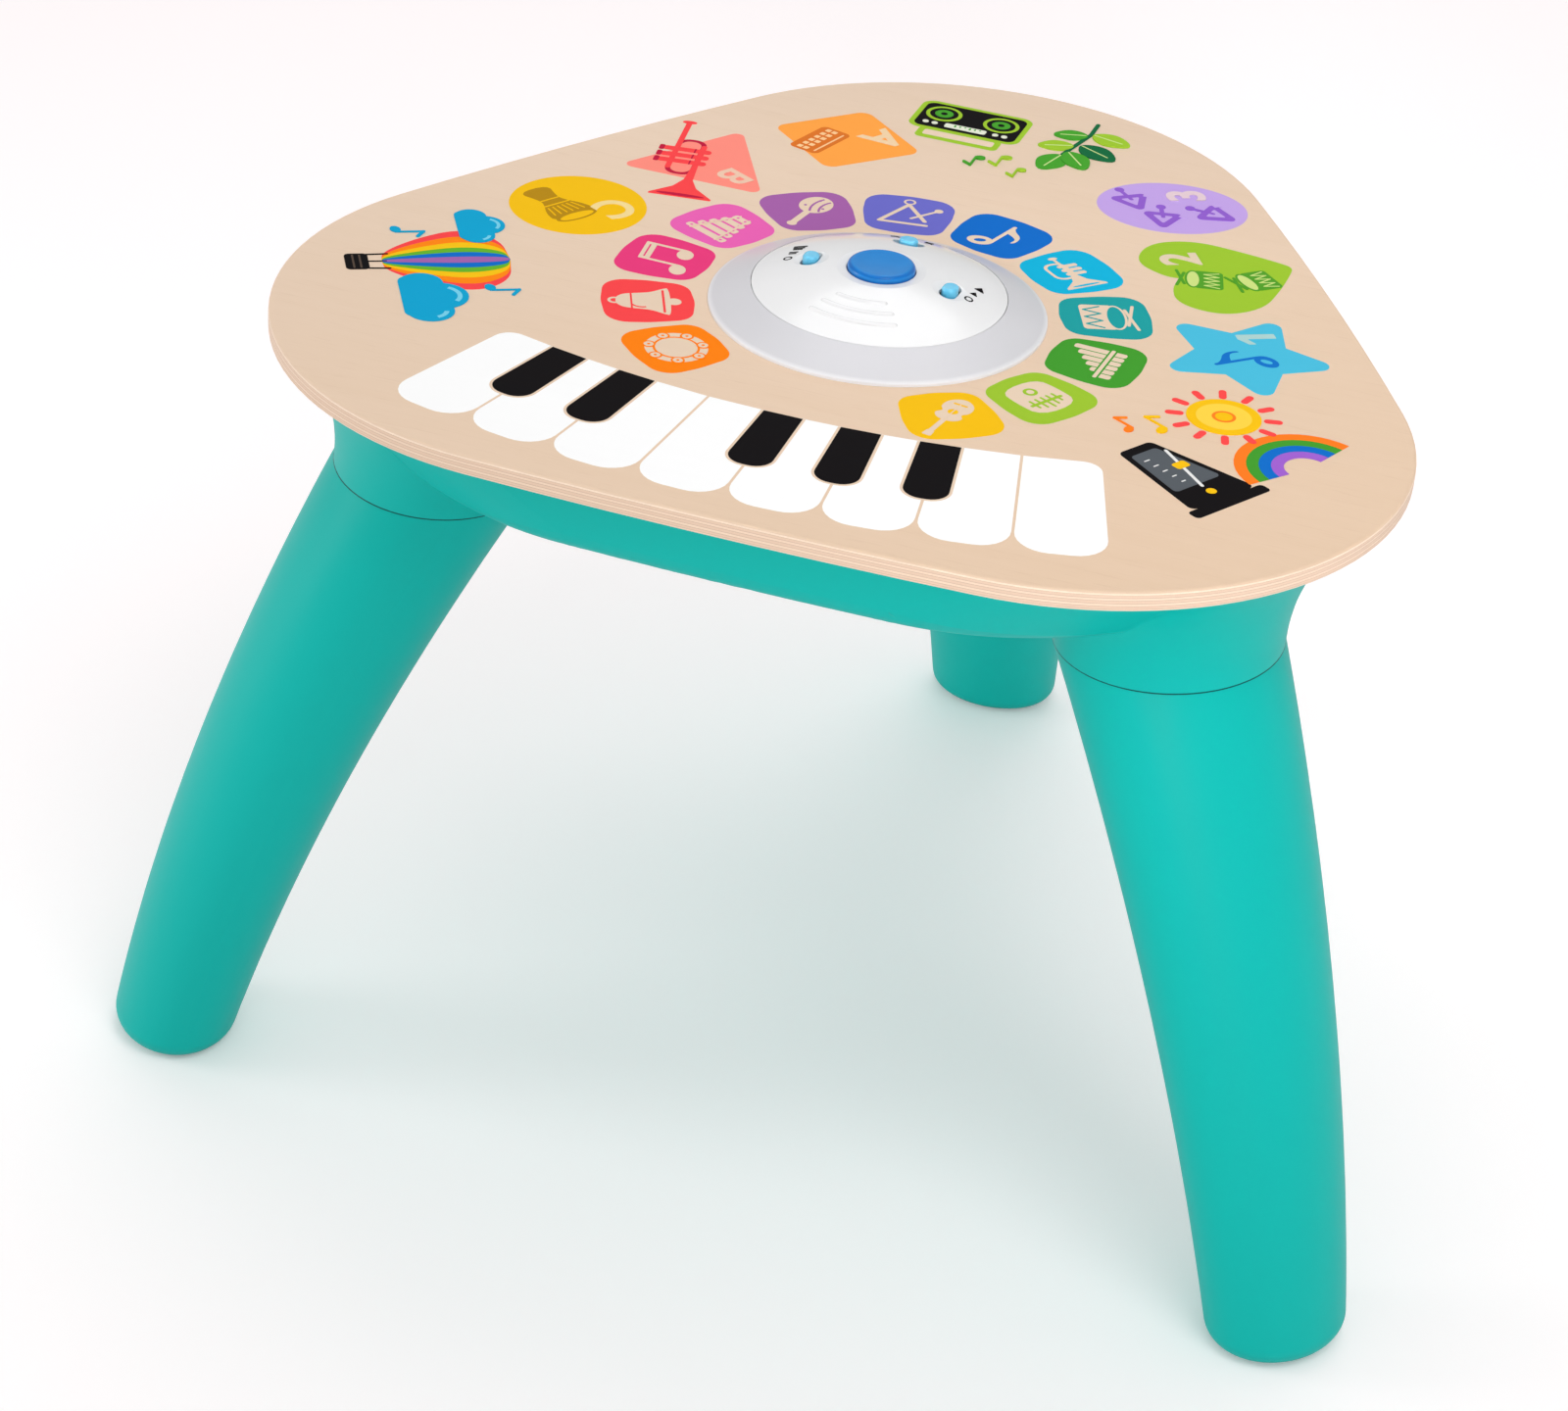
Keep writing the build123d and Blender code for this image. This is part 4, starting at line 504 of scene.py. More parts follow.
class Print:
    """A printed motif: closed flat prisms of ink, one over the other, in one mesh."""

    def __init__(self, name, on_cap=False):
        self.name = name
        self.on_cap = on_cap
        self.mesh = bmesh.new()
        self.colours = self.mesh.loops.layers.float_color.new("ink")
        self.layer = 0
        self.draw_at((0, 0))

    def draw_at(self, centre, turn=0.0, size=1.0):
        """What is added next is drawn about this place, turned and sized."""
        self.centre = Vector(centre)
        self.turn = Matrix.Rotation(radians(turn), 2) * size

    def spot(self, point, level):
        """A point of the motif as a place in the model."""
        x, y = self.centre + self.turn @ Vector(point)
        ground = cap_height(hypot(x, y)) if self.on_cap else 0.0
        return Vector((x * MM, y * MM + AXIS_Y, TOP_Z + (ground + level) * MM))

    def paint(self, faces, colour):
        for face in faces:
            for corner in face.loops:
                corner[self.colours] = srgb(*colour)

    def levels(self, points, order=0):
        """The lower and the upper ring of a prism's corners."""
        depth = CAP_INK_DEPTH if self.on_cap else INK_DEPTH
        top = self.layer * INK_LAYER + order % INK_STEPS * INK_STEP
        low = [self.mesh.verts.new(self.spot(point, -depth)) for point in points]
        high = [self.mesh.verts.new(self.spot(point, top)) for point in points]
        return low, high

    def add(self, colour, *outlines):
        """Prints closed outlines in one colour over what is there."""
        self.layer += 1
        for order, outline in enumerate(outlines):
            low, high = self.levels(outline, order)
            faces = [self.mesh.faces.new(high), self.mesh.faces.new(low[::-1])]
            for here in range(len(outline)):
                after = (here + 1) % len(outline)
                faces.append(self.mesh.faces.new((low[here], low[after], high[after], high[here])))
            self.paint(faces, colour)

    def write(self, letter, size, colour):
        """Prints a plain bold letter or figure about the place."""
        curve = bpy.data.curves.new("letter", "FONT")
        curve.body = letter
        curve.size = size
        curve.offset = size * LETTER_WEIGHTS.get(letter, LETTER_WEIGHT)
        curve.align_x = "CENTER"
        curve.align_y = "CENTER"
        shape = add_object("letter", curve)
        bpy.context.view_layer.update()
        evaluated = shape.evaluated_get(bpy.context.evaluated_depsgraph_get())
        flat = bpy.data.meshes.new_from_object(evaluated)
        bpy.data.objects.remove(shape)
        bpy.data.curves.remove(curve)
        drawn = bmesh.new()
        drawn.from_mesh(flat)
        bpy.data.meshes.remove(flat)
        bmesh.ops.remove_doubles(drawn, verts=drawn.verts, dist=size * LETTER_WELD)
        drawn.verts.index_update()
        self.layer += 1
        low, high = self.levels([vertex.co.xy for vertex in drawn.verts])
        faces = []
        for face in drawn.faces:
            corners = [vertex.index for vertex in face.verts]
            faces.append(self.mesh.faces.new([high[index] for index in corners]))
            faces.append(self.mesh.faces.new([low[index] for index in reversed(corners)]))
        for edge in drawn.edges:
            if len(edge.link_faces) == 1:
                here, after = edge.verts[0].index, edge.verts[1].index
                faces.append(self.mesh.faces.new((low[here], low[after], high[after], high[here])))
        drawn.free()
        self.paint(faces, colour)

    def finish(self, material):
        """Makes the printed piece, which moves with the table."""
        bmesh.ops.recalc_face_normals(self.mesh, faces=self.mesh.faces)
        data = bpy.data.meshes.new(self.name)
        self.mesh.to_mesh(data)
        self.mesh.free()
        data.materials.append(material)
        piece = add_object(self.name, data)
        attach(piece, "table")


# ---- outlines ----
CORNER_CUT = 0.25  # share of a side that each round of softening takes off at either end
STRAIGHT = 1e-6  # two sides whose directions add up to less than this are in one line


def ellipse(x, y, half_width, half_height, turn=0.0, steps=36):
    """An ellipse about x, y, turned by degrees."""
    cosine, sine = cos(radians(turn)), sin(radians(turn))
    points = []
    for step in range(steps):
        angle = 2 * pi * step / steps
        u, v = half_width * cos(angle), half_height * sin(angle)
        points.append((x + u * cosine - v * sine, y + u * sine + v * cosine))
    return points


def disc(x, y, radius, steps=30):
    return ellipse(x, y, radius, radius, 0, steps)


def soften(corners, rounds=3):
    """A smooth closed curve that follows the corners."""
    points = list(corners)
    near, far = 1 - CORNER_CUT, CORNER_CUT
    for _ in range(rounds):
        cut = []
        for (x1, y1), (x2, y2) in zip(points, points[1:] + points[:1]):
            cut.append((near * x1 + far * x2, near * y1 + far * y2))
            cut.append((far * x1 + near * x2, far * y1 + near * y2))
        points = cut
    return points


def mirrored(half):
    """A shape with the same left and right halves, from the corners of its right half."""
    return list(half) + [(-x, y) for x, y in reversed(half)]


def narrowed(outline, share):
    return [(x * share, y) for x, y in outline]


def rounded(corners, radius, steps=7):
    """A polygon with its corners rounded to arcs; radius is one value, or one for each corner."""
    radii = radius if isinstance(radius, (list, tuple)) else [radius] * len(corners)
    points = []
    for index, corner in enumerate(corners):
        here = Vector(corner)
        before = (Vector(corners[index - 1]) - here).normalized()
        after = (Vector(corners[(index + 1) % len(corners)]) - here).normalized()
        bisector = before + after
        if radii[index] <= 0 or bisector.length < STRAIGHT:
            points.append(tuple(here))
            continue
        half = before.angle(after) / 2
        centre = here + bisector.normalized() * radii[index] / sin(half)
        start = here + before * radii[index] * cos(half) / sin(half) - centre
        way = 1 if before.x * after.y - before.y * after.x < 0 else -1
        for step in range(steps + 1):
            turned = Matrix.Rotation(way * (pi - 2 * half) * step / steps, 2) @ start
            points.append(tuple(centre + turned))
    return points


def bar(x1, y1, x2, y2, width, steps=6):
    """A straight stroke with round ends."""
    heading = atan2(y2 - y1, x2 - x1)
    points = []
    for x, y, first in ((x2, y2, heading - pi / 2), (x1, y1, heading + pi / 2)):
        for step in range(steps + 1):
            angle = first + pi * step / steps
            points.append((x + width / 2 * cos(angle), y + width / 2 * sin(angle)))
    return points


def arc_bar(x, y, radius, start, end, width, steps=20):
    """A stroke along an arc, in degrees, with square ends."""
    outer, inner = [], []
    for step in range(steps + 1):
        angle = radians(start + (end - start) * step / steps)
        outer.append((x + (radius + width / 2) * cos(angle), y + (radius + width / 2) * sin(angle)))
        inner.append((x + (radius - width / 2) * cos(angle), y + (radius - width / 2) * sin(angle)))
    return outer + inner[::-1]


def around(count, distance, first=0.0):
    """Places evenly round the middle, each with its direction in degrees."""
    places = []
    for index in range(count):
        direction = first + 360 * index / count
        x, y = distance * cos(radians(direction)), distance * sin(radians(direction))
        places.append((x, y, direction))
    return places


def plate(x, y, width, height, radius=0.0):
    """A rectangle about x, y with rounded corners."""
    a, b = width / 2, height / 2
    return rounded([(x - a, y - b), (x + a, y - b), (x + a, y + b), (x - a, y + b)], radius)


def triangle(distance, radius):
    """A triangle with rounded corners, the first one up, at a distance from its middle."""
    return rounded([place[:2] for place in around(3, distance, 90)], radius)


def star(tips, outer, inner, radius):
    """A star with rounded tips, the first one up."""
    corners, radii = [], []
    for x, y, direction in around(tips, outer, 90):
        valley = radians(direction + 180 / tips)
        corners += [(x, y), (inner * cos(valley), inner * sin(valley))]
        radii += [radius, 0]
    return rounded(corners, radii)


def heart(size):
    """A heart with full sides about its middle, point down."""
    half = [(0, -0.5), (0.07, -0.46), (0.3, -0.26), (0.53, -0.02), (0.56, 0.3), (0.32, 0.52),
            (0.06, 0.42), (0, 0.3)]
    right = [(x * size, y * size) for x, y in half]
    return soften(right + [(-x, y) for x, y in right[-2:0:-1]])


# ---- piano keys ----
KEY_INK = (254, 254, 254)
KEYS = 8
FAN_CENTRE = (-4.0, 320.0)
FAN_INNER = 430.0
FAN_OUTER = 507.0
KEY_PITCH = 4.33  # degrees
KEY_GAP = 1.2
KEY_TIP = 13.5  # radius of a white key's outer corners
KEYBOARD_CORNER = 8.0  # radius at both ends of the keyboard's inner edge
SHARP_WIDTHS = (16.6, 18.8)
SHARP_LENGTH = 46.5
SHARP_TIP = 8.0
SHARP_OUTLINE = 1.2
SHARP_OVERHANG = 0.1
SHARPS_AFTER = (0, 1, 3, 4, 5)


def fan_point(radius, angle, sideways):
    """A place on the fan, angle from straight down, with a shift across the radius."""
    turn = radians(angle)
    x = FAN_CENTRE[0] + radius * sin(turn) + sideways * cos(turn)
    y = FAN_CENTRE[1] - radius * cos(turn) + sideways * sin(turn)
    return (x, y)


def white_key(number):
    """The outline of a white key, counted from the left."""
    left = (number - KEYS / 2) * KEY_PITCH
    right = left + KEY_PITCH
    corners = [
        fan_point(FAN_INNER, left, KEY_GAP / 2), fan_point(FAN_OUTER, left, KEY_GAP / 2),
        fan_point(FAN_OUTER, right, -KEY_GAP / 2), fan_point(FAN_INNER, right, -KEY_GAP / 2),
    ]
    inner_left = KEYBOARD_CORNER if number == 0 else 0.0
    inner_right = KEYBOARD_CORNER if number == KEYS - 1 else 0.0
    return rounded(corners, [inner_left, KEY_TIP, KEY_TIP, inner_right])


def sharp_key(after, grow):
    """The outline of the black key that comes after a white one, grown by a margin."""
    angle = (after + 1 - KEYS / 2) * KEY_PITCH
    inner_half, outer_half = [width / 2 + grow for width in SHARP_WIDTHS]
    start, end = FAN_INNER - SHARP_OVERHANG, FAN_INNER + SHARP_LENGTH + grow
    corners = [
        fan_point(start, angle, -inner_half), fan_point(end, angle, -outer_half),
        fan_point(end, angle, outer_half), fan_point(start, angle, inner_half),
    ]
    return rounded(corners, [0, SHARP_TIP + grow, SHARP_TIP + grow, 0])


def print_piano(material):
    piano = Print("printed_piano_keys")
    piano.add(KEY_INK, *[white_key(number) for number in range(KEYS)])
    piano.add(WOOD, *[sharp_key(after, SHARP_OUTLINE) for after in SHARPS_AFTER])
    piano.add(BLACK, *[sharp_key(after, 0) for after in SHARPS_AFTER])
    piano.finish(material)


# ---- the ring of twelve small pads ----
PAD_DISTANCE = 97.5
PAD_FIRST_ANGLE = 229.5
PAD_STEP = 25.85
PAD_INNER_WIDTH = 33.0
PAD_OUTER_WIDTH = 41.0
PAD_DEPTH = 40.0
PAD_END_BOW = 2.0
PAD_SIDE_BOW = 1.5
SIGN_SIZE = 1.05
PAD_COLOURS = [
    (255, 130, 5), (250, 70, 74), (233, 58, 124), (234, 98, 180), (165, 97, 168), (107, 107, 200),
    (0, 106, 200), (0, 178, 219), (24, 158, 160), (64, 155, 44), (156, 196, 48), (246, 191, 10),
]


def small_pad():
    """A rounded trapezoid with gently bowed sides, its wide side towards +Y."""
    a, b, d = PAD_INNER_WIDTH / 2, PAD_OUTER_WIDTH / 2, PAD_DEPTH / 2
    end, side = d - PAD_END_BOW, (a + b) / 2 + PAD_SIDE_BOW
    corners = [(-a, -end), (0, -d), (a, -end), (side, 0), (b, end), (0, d), (-b, end), (-side, 0)]
    return rounded(corners, [9, 30, 9, 40, 10, 40, 10, 40])


# Each sign is drawn about its pad's middle in its own ink, with details in the pad's colour.
def sign_tambourine(pad, ink, ground):
    pad.add(ink, disc(0, 0, 12.6))
    pad.add(ground, disc(0, 0, 9.4))
    pad.add(ink, disc(0, 0, 8.4))
    for colour, radius, steps in ((ground, 2.8, 16), (ink, 2.0, 16), (ground, 0.7, 10)):
        pad.add(colour, *[disc(x, y, radius, steps) for x, y, _ in around(7, 11.0)])


def sign_bell(pad, ink, ground):
    half = [(0, 13.0), (3.4, 12.6), (6.2, 9.6), (7.0, 4.0), (8.0, -1.5), (11.4, -6.4), (12.4, -9.2)]
    pad.add(ink, disc(0, -10.6, 3.0), soften(mirrored(half), 2), arc_bar(0, 13.4, 2.2, 0, 360, 1.2))
    pad.add(ground, bar(-9.6, -6.4, 9.6, -6.4, 1.0), bar(-6.8, 6.6, 6.8, 6.6, 0.8))
    pad.add(ground, arc_bar(-1, 2.5, 4.6, 120, 200, 0.9))


def sign_two_notes(pad, ink, ground):
    pad.add(ink, ellipse(-8, -8.5, 4.6, 3.5, 20, 20), ellipse(6.4, -6, 4.6, 3.5, 20, 20),
            bar(-4.2, -7.5, -4.2, 9, 1.6), bar(10.2, -5, 10.2, 11.5, 1.6),
            rounded([(-5.0, 5.6), (11.0, 8), (11.0, 12.8), (-5.0, 10.4)], 0.4))
    pad.add(ground, bar(-2.6, 8.6, 8.6, 10.3, 0.7))


def sign_chimes(pad, ink, ground):
    for index in range(5):
        x, half = -10 + index * 5, 11.4 - index * 1.7
        pad.add(ink, plate(x, 0, 3.6, 2 * half, 1.2))
        pad.add(ground, disc(x, half - 2.4, 0.7, 10), disc(x, 2.4 - half, 0.7, 10))
    pad.add(ink, bar(-12, 7.6, 12, 2.8, 0.9), bar(-12, -7.6, 12, -2.8, 0.9))


def sign_shaker(pad, ink, ground):
    pad.add(ink, ellipse(4.6, 5.6, 8.6, 7.0, 45), bar(-1, 0, -11, -10, 3.0),
            disc(-11, -10, 2.2, 14))
    pad.add(ground, arc_bar(14.5, -4.3, 11.4, 105, 165, 1.0),
            arc_bar(14.5, -4.3, 15.2, 108, 162, 1.0))
    pad.add(ground, *[disc(4.6 + x, 5.6 + y, 0.7, 10) for x, y, _ in around(3, 4.6, 50)])


def sign_triangle(pad, ink, ground):
    pad.add(ink, bar(-11, -8.5, 9, -8.5, 1.9), bar(-11, -8.5, -0.5, 10.5, 1.9),
            bar(-0.5, 10.5, 8.0, -4.6, 1.9), arc_bar(-0.5, 13.2, 2.2, 0, 360, 1.0))
    pad.add(ink, bar(2, -3, 12, 7.0, 1.4), disc(12.6, 7.6, 1.9, 14))


def sign_note(pad, ink, ground):
    flag = [(0.2, 12.8), (2.4, 8.6), (7.6, 5.0), (8.4, -1.2), (6.4, -3.0), (7.0, 1.6), (3.8, 3.8),
            (-0.2, 5.2)]
    pad.add(ink, ellipse(-4.4, -8.6, 5.6, 4.2, 20, 24), bar(0.2, -7.4, 0.2, 12, 1.8),
            soften(flag, 2))
    pad.add(ground, ellipse(-4.4, -8.6, 2.6, 1.5, 35, 14))


def sign_horn(pad, ink, ground):
    cone = [(-13.6, -0.6), (2, -1.3), (7.6, -3.6), (12.6, -9.6), (13.8, -9.6), (13.8, 9.6),
            (12.6, 9.6), (7.6, 3.6), (2, 1.3), (-13.6, 0.6)]
    pad.add(ink, plate(-2.5, -3.4, 15, 10.6, 4.4))
    pad.add(ground, plate(-2.5, -3.4, 12.2, 7.8, 3.2))
    pad.add(ink, cone, ellipse(-13.8, 0, 1.2, 2.2, 0, 12),
            *[plate(x, 2.2, 2.4, 9.6, 1) for x in (-6, -2.4, 1.2)])
    pad.add(ground, ellipse(12.2, 0, 0.7, 6.6, 0, 20))


def sign_drum(pad, ink, ground):
    pad.add(ink, plate(0, -3.0, 22, 14, 2), ellipse(0, 4.4, 11, 4.6))
    pad.add(ground, ellipse(0, 4.4, 9.8, 3.5))
    zigzag = []
    for index in range(6):
        x = -9.6 + index * 3.2
        here, after = (-8.4, -1.6) if index % 2 else (-1.6, -8.4)
        zigzag.append(bar(x, here, x + 3.2, after, 0.9))
    pad.add(ground, *zigzag)
    pad.add(ink, bar(-10.5, 12.4, 7, 8.8, 1.4), bar(10.5, 12.4, -7, 8.8, 1.4))


def sign_pipes(pad, ink, ground):
    pad.add(ink, *[plate(-10.5 + index * 4.2, -1.2 + index * 1.5, 3.5, 22 - index * 3, 1.2)
                   for index in range(6)])
    pad.add(ground, plate(0, 3.6, 27, 3.2, 0.8))
    pad.add(ink, plate(0, 3.6, 26.4, 1.6, 0.6))


def sign_thumb_piano(pad, ink, ground):
    body = [(10.4, 11.4), (11.4, -2.0), (9.6, -12.4)]
    pad.add(ink, soften(mirrored(body), 2))
    pad.add(ground, disc(0, -5.4, 3.0), plate(0, 3.6, 17, 1.6, 0.6))
    pad.add(ground, *[bar(-6 + index * 3, 8.6 - abs(index - 2) * 1.2, -6 + index * 3, 0.4, 1.1)
                      for index in range(5)])
    pad.add(ink, disc(0, -5.4, 1.6))


def sign_guitar(pad, ink, ground):
    body = [(-12.6, -4.4), (-11.4, -11.4), (-4.4, -12.6), (0.6, -8.4), (0.4, -4.6), (4.6, -4.4),
            (5.2, 0.8), (0.8, 5.2), (-4.4, 4.6), (-4.6, 0.4), (-8.4, 0.6)]
    pad.add(ink, soften(body), bar(-1, -1, 10.6, 10.6, 2.2))
    pad.add(ink, rounded([(9.4, 11.6), (11.6, 9.4), (15.0, 12.2), (12.2, 15.0)], 0.7))
    pad.add(ground, disc(-2.6, -2.6, 2.1), bar(-9.2, -5.6, -5.6, -9.2, 1.1))
    pad.add(ink, bar(-7.4, -7.4, 3, 3, 0.5))


SMALL_SIGNS = [
    sign_tambourine, sign_bell, sign_two_notes, sign_chimes, sign_shaker, sign_triangle,
    sign_note, sign_horn, sign_drum, sign_pipes, sign_thumb_piano, sign_guitar,
]


def print_small_pads(material):
    for number, (colour, sign) in enumerate(zip(PAD_COLOURS, SMALL_SIGNS), 1):
        angle = PAD_FIRST_ANGLE - (number - 1) * PAD_STEP
        centre = (PAD_DISTANCE * cos(radians(angle)), PAD_DISTANCE * sin(radians(angle)))
        pad = Print("printed_small_pad_" + str(number))
        pad.draw_at(centre, angle - 90)
        pad.add(colour, small_pad())
        pad.draw_at(centre, angle - 90, SIGN_SIZE)
        sign(pad, WOOD, colour)
        pad.finish(material)


# ---- six large pads: letters face one side of the table and figures the other ----
LETTER_TURN = -120.0
FIGURE_TURN = 120.0
LETTER_SIZE = 24.15
SMALL_LETTER_SIZE = 21.85


def pad_c(pad):
    yellow, brown = (246, 192, 12), (183, 137, 15)
    pad.draw_at((-151, 36))
    pad.add(yellow, disc(0, 0, 30.4, 60))
    pad.draw_at((-160, 33), LETTER_TURN, 1.15)
    drum = [(10, 13), (9.4, 6), (4.4, -2.0), (4.4, -6), (7.4, -15)]
    pad.add(brown, soften(mirrored(drum), 2), ellipse(0, 12.6, 9.4, 3.4))
    pad.add(yellow, ellipse(0, 12.8, 7.8, 2.3), bar(-5.6, 0.4, 5.6, 0.4, 0.8),
            bar(-4, -4.2, 4, -4.2, 0.8))
    pad.add(yellow, *[bar(-7 + 2.8 * index, 8.4, -5.4 + 2.2 * index, 2.2, 0.6)
                      for index in range(6)])
    pad.draw_at((-135.7, 40.5), LETTER_TURN)
    pad.write("C", LETTER_SIZE, (244, 218, 150))


def pad_b(pad):
    red, deep, pink = (251, 70, 74), (193, 22, 62), (255, 143, 128)
    pad.add(pink, rounded([(-151, 85.5), (-82.6, 85.5), (-113.6, 147)], 3.5))
    pad.draw_at((-126.5, 105.5), 279, 0.94)
    bell = [(8, 5.0), (24, 4.2), (33, 0.6), (43, -9), (44.5, -9), (44.5, 21), (43, 21), (33, 12),
            (24, 8.6), (8, 7.8)]
    valves = (-10, -3, 4)
    pad.add(deep, plate(-2, 0, 42, 14.6, 6.6))
    pad.add(pink, plate(-2, 0, 37, 9.6, 4.6))
    pad.add(red, bell, bar(-42, -6.2, 12, -6.2, 2.8), bar(-16, 6.4, 12, 6.4, 2.8),
            ellipse(-43, -6.2, 1.8, 3.6, 0, 16))
    pad.add(red, *[plate(x, -1, 4.6, 24, 2) for x in valves])
    pad.add(deep, *[plate(x, -13.4, 5.6, 2.6, 1) for x in valves],
            ellipse(42, 6, 1.4, 11.6, 0, 24), *[bar(x - 2, 3, x + 2, 3, 0.8) for x in valves])
    pad.draw_at((-100.5, 98), LETTER_TURN)
    pad.write("B", SMALL_LETTER_SIZE, (238, 200, 176))


def pad_a(pad):
    deep, light = (222, 116, 38), (250, 205, 150)
    pad.draw_at((-67.6, 162), 48)
    pad.add((255, 164, 70), plate(0, 0, 50, 50, 5.5))
    pad.draw_at((-78.5, 155), LETTER_TURN + 14, 0.92)
    pad.add(deep, plate(0, 0, 32, 17, 3.4))
    pad.add(light, *[plate(-12.5 + 5 * index, -1.6, 3.0, 6.4, 0.6) for index in range(6)],
            bar(-12.6, 5.4, 12.6, 5.4, 1.0))
    pad.add(deep, bar(-13.6, -1.6, 13.6, -1.6, 0.9))
    pad.draw_at((-53.5, 171), LETTER_TURN)
    pad.write("A", LETTER_SIZE, (240, 208, 168))


def pad_3(pad):
    lilac, violet = (193, 162, 228), (143, 93, 203)
    pad.draw_at((88, 160.8), 20)
    pad.add(lilac, ellipse(0, 0, 34.3, 27, 0, 60))
    for place, turn in (((69.5, 160), 100), ((87, 148), 75), ((107.5, 163), 140)):
        pad.draw_at(place, turn)
        pad.add(violet, triangle(12, 2.4))
        pad.add(lilac, triangle(5.4, 0.6), plate(7.4, -6.2, 2.6, 3.6))
        pad.add(violet, bar(1.0, 0.5, 9.5, 6.5, 2.0), disc(10, 6.8, 2.3, 14))
    pad.draw_at((91, 177), FIGURE_TURN)
    pad.write("3", LETTER_SIZE, (226, 203, 210))


def pad_2(pad):
    lime, green, pale = (156, 197, 48), (80, 158, 40), (204, 222, 130)
    pad.draw_at((126.5, 103.8), 130)
    pad.add(lime, heart(66))
    for place, turn in (((119.5, 94), 105), ((141, 104), 135)):
        pad.draw_at(place, turn, 0.92)
        pad.add(green, plate(0, -2, 19, 14, 2.2), ellipse(0, 5.4, 9.5, 4.0))
        pad.add(pale, ellipse(0, 5.4, 8.2, 2.9),
                *[bar(x, -7, x + 2, 0, 0.8) for x in (-8, -4, 0, 4)],
                *[bar(x, 0, x + 2, -7, 0.8) for x in (-6, -2, 2, 6)])
        pad.add(green, bar(-8, 13.2, 6, 9.6, 1.6), bar(8, 13.2, -6, 9.6, 1.6))
    pad.draw_at((105.2, 110), FIGURE_TURN)
    pad.write("2", LETTER_SIZE, (224, 205, 178))


def pad_1(pad):
    sky, blue = (72, 188, 220), (8, 112, 200)
    pad.draw_at((152.6, 30), -8)
    pad.add(sky, star(5, 42.0, 21.0, 4.8))
    pad.draw_at((153, 25.5), FIGURE_TURN + 15, 1.05)
    sign_note(pad, blue, sky)
    pad.draw_at((154, 48), FIGURE_TURN)
    one = [(0, -8.6), (4.2, -8.6), (4.2, 8.6), (0.2, 8.6), (-5, 4.8), (-5, 1.6), (0, 4.4)]
    pad.add((172, 208, 206), rounded(one, 0.4))


LARGE_PADS = {"c": pad_c, "b": pad_b, "a": pad_a, "3": pad_3, "2": pad_2, "1": pad_1}


def print_large_pads(material):
    for letter, draw in LARGE_PADS.items():
        pad = Print("printed_large_pad_" + letter)
        draw(pad)
        pad.finish(material)


# ---- corner pictures ----
def small_note(picture, x, y, size, colour):
    stem, top = x + size * 0.85, y + size * 4
    picture.add(colour, ellipse(x, y, size, size * 0.75, 20, 18),
                bar(stem, y, stem, top, size * 0.4),
                bar(stem, top, x + size * 2.4, y + size * 3, size * 0.55))


def picture_left(material):
    """A striped balloon with a dark basket, between two blue clouds."""
    picture = Print("printed_picture_left")
    blue, pale = (0, 163, 209), (118, 208, 234)
    picture.draw_at((-182, -44), -60)
    envelope = mirrored([(0, 30), (20, 28), (31, 12), (22, -8), (9, -24), (0, -25)])
    stripes = [(1.0, (250, 70, 74)), (0.8, (255, 136, 10)), (0.6, (248, 196, 12)),
               (0.42, (100, 180, 44)), (0.26, (0, 108, 200)), (0.1, (163, 98, 172))]
    for share, colour in stripes:
        picture.add(colour, soften(narrowed(envelope, share)))
    picture.add(BLACK, plate(0, -35.5, 15, 10, 2.2), bar(-7, -22, -6.6, -31, 1.0),
                bar(7, -22, 6.6, -31, 1.0), bar(0, -23, 0, -31, 0.8))
    picture.add((84, 70, 60), bar(-6, -34, 6, -34, 0.9), bar(-6, -37, 6, -37, 0.9))
    for x, y, size in ((34, -8, 1.35), (-34, 20, 1.0)):
        picture.add(blue, *[disc(x + u * size, y + v * size, r * size)
                            for u, v, r in ((-9, -2, 7), (0, 3, 9), (10, -1, 7.5))],
                    plate(x, y - 5.4 * size, 28 * size, 7.4 * size, 3.6 * size))
        picture.add(pale, arc_bar(x, y + 3 * size, 6.2 * size, 50, 150, 1.5 * size),
                    arc_bar(x + 10 * size, y - size, 5 * size, 20, 80, 1.5 * size))
    small_note(picture, 27, 18, 3.0, blue)
    small_note(picture, -31, -16, 3.0, blue)
    picture.finish(material)


def leaf(length, width):
    """A pointed leaf along +X from its stalk."""
    half = [(0, 0), (0.22 * length, 0.5 * width), (0.55 * length, 0.62 * width), (length, 0)]
    return soften(half + [(x, -y) for x, y in half[2:0:-1]], 2)


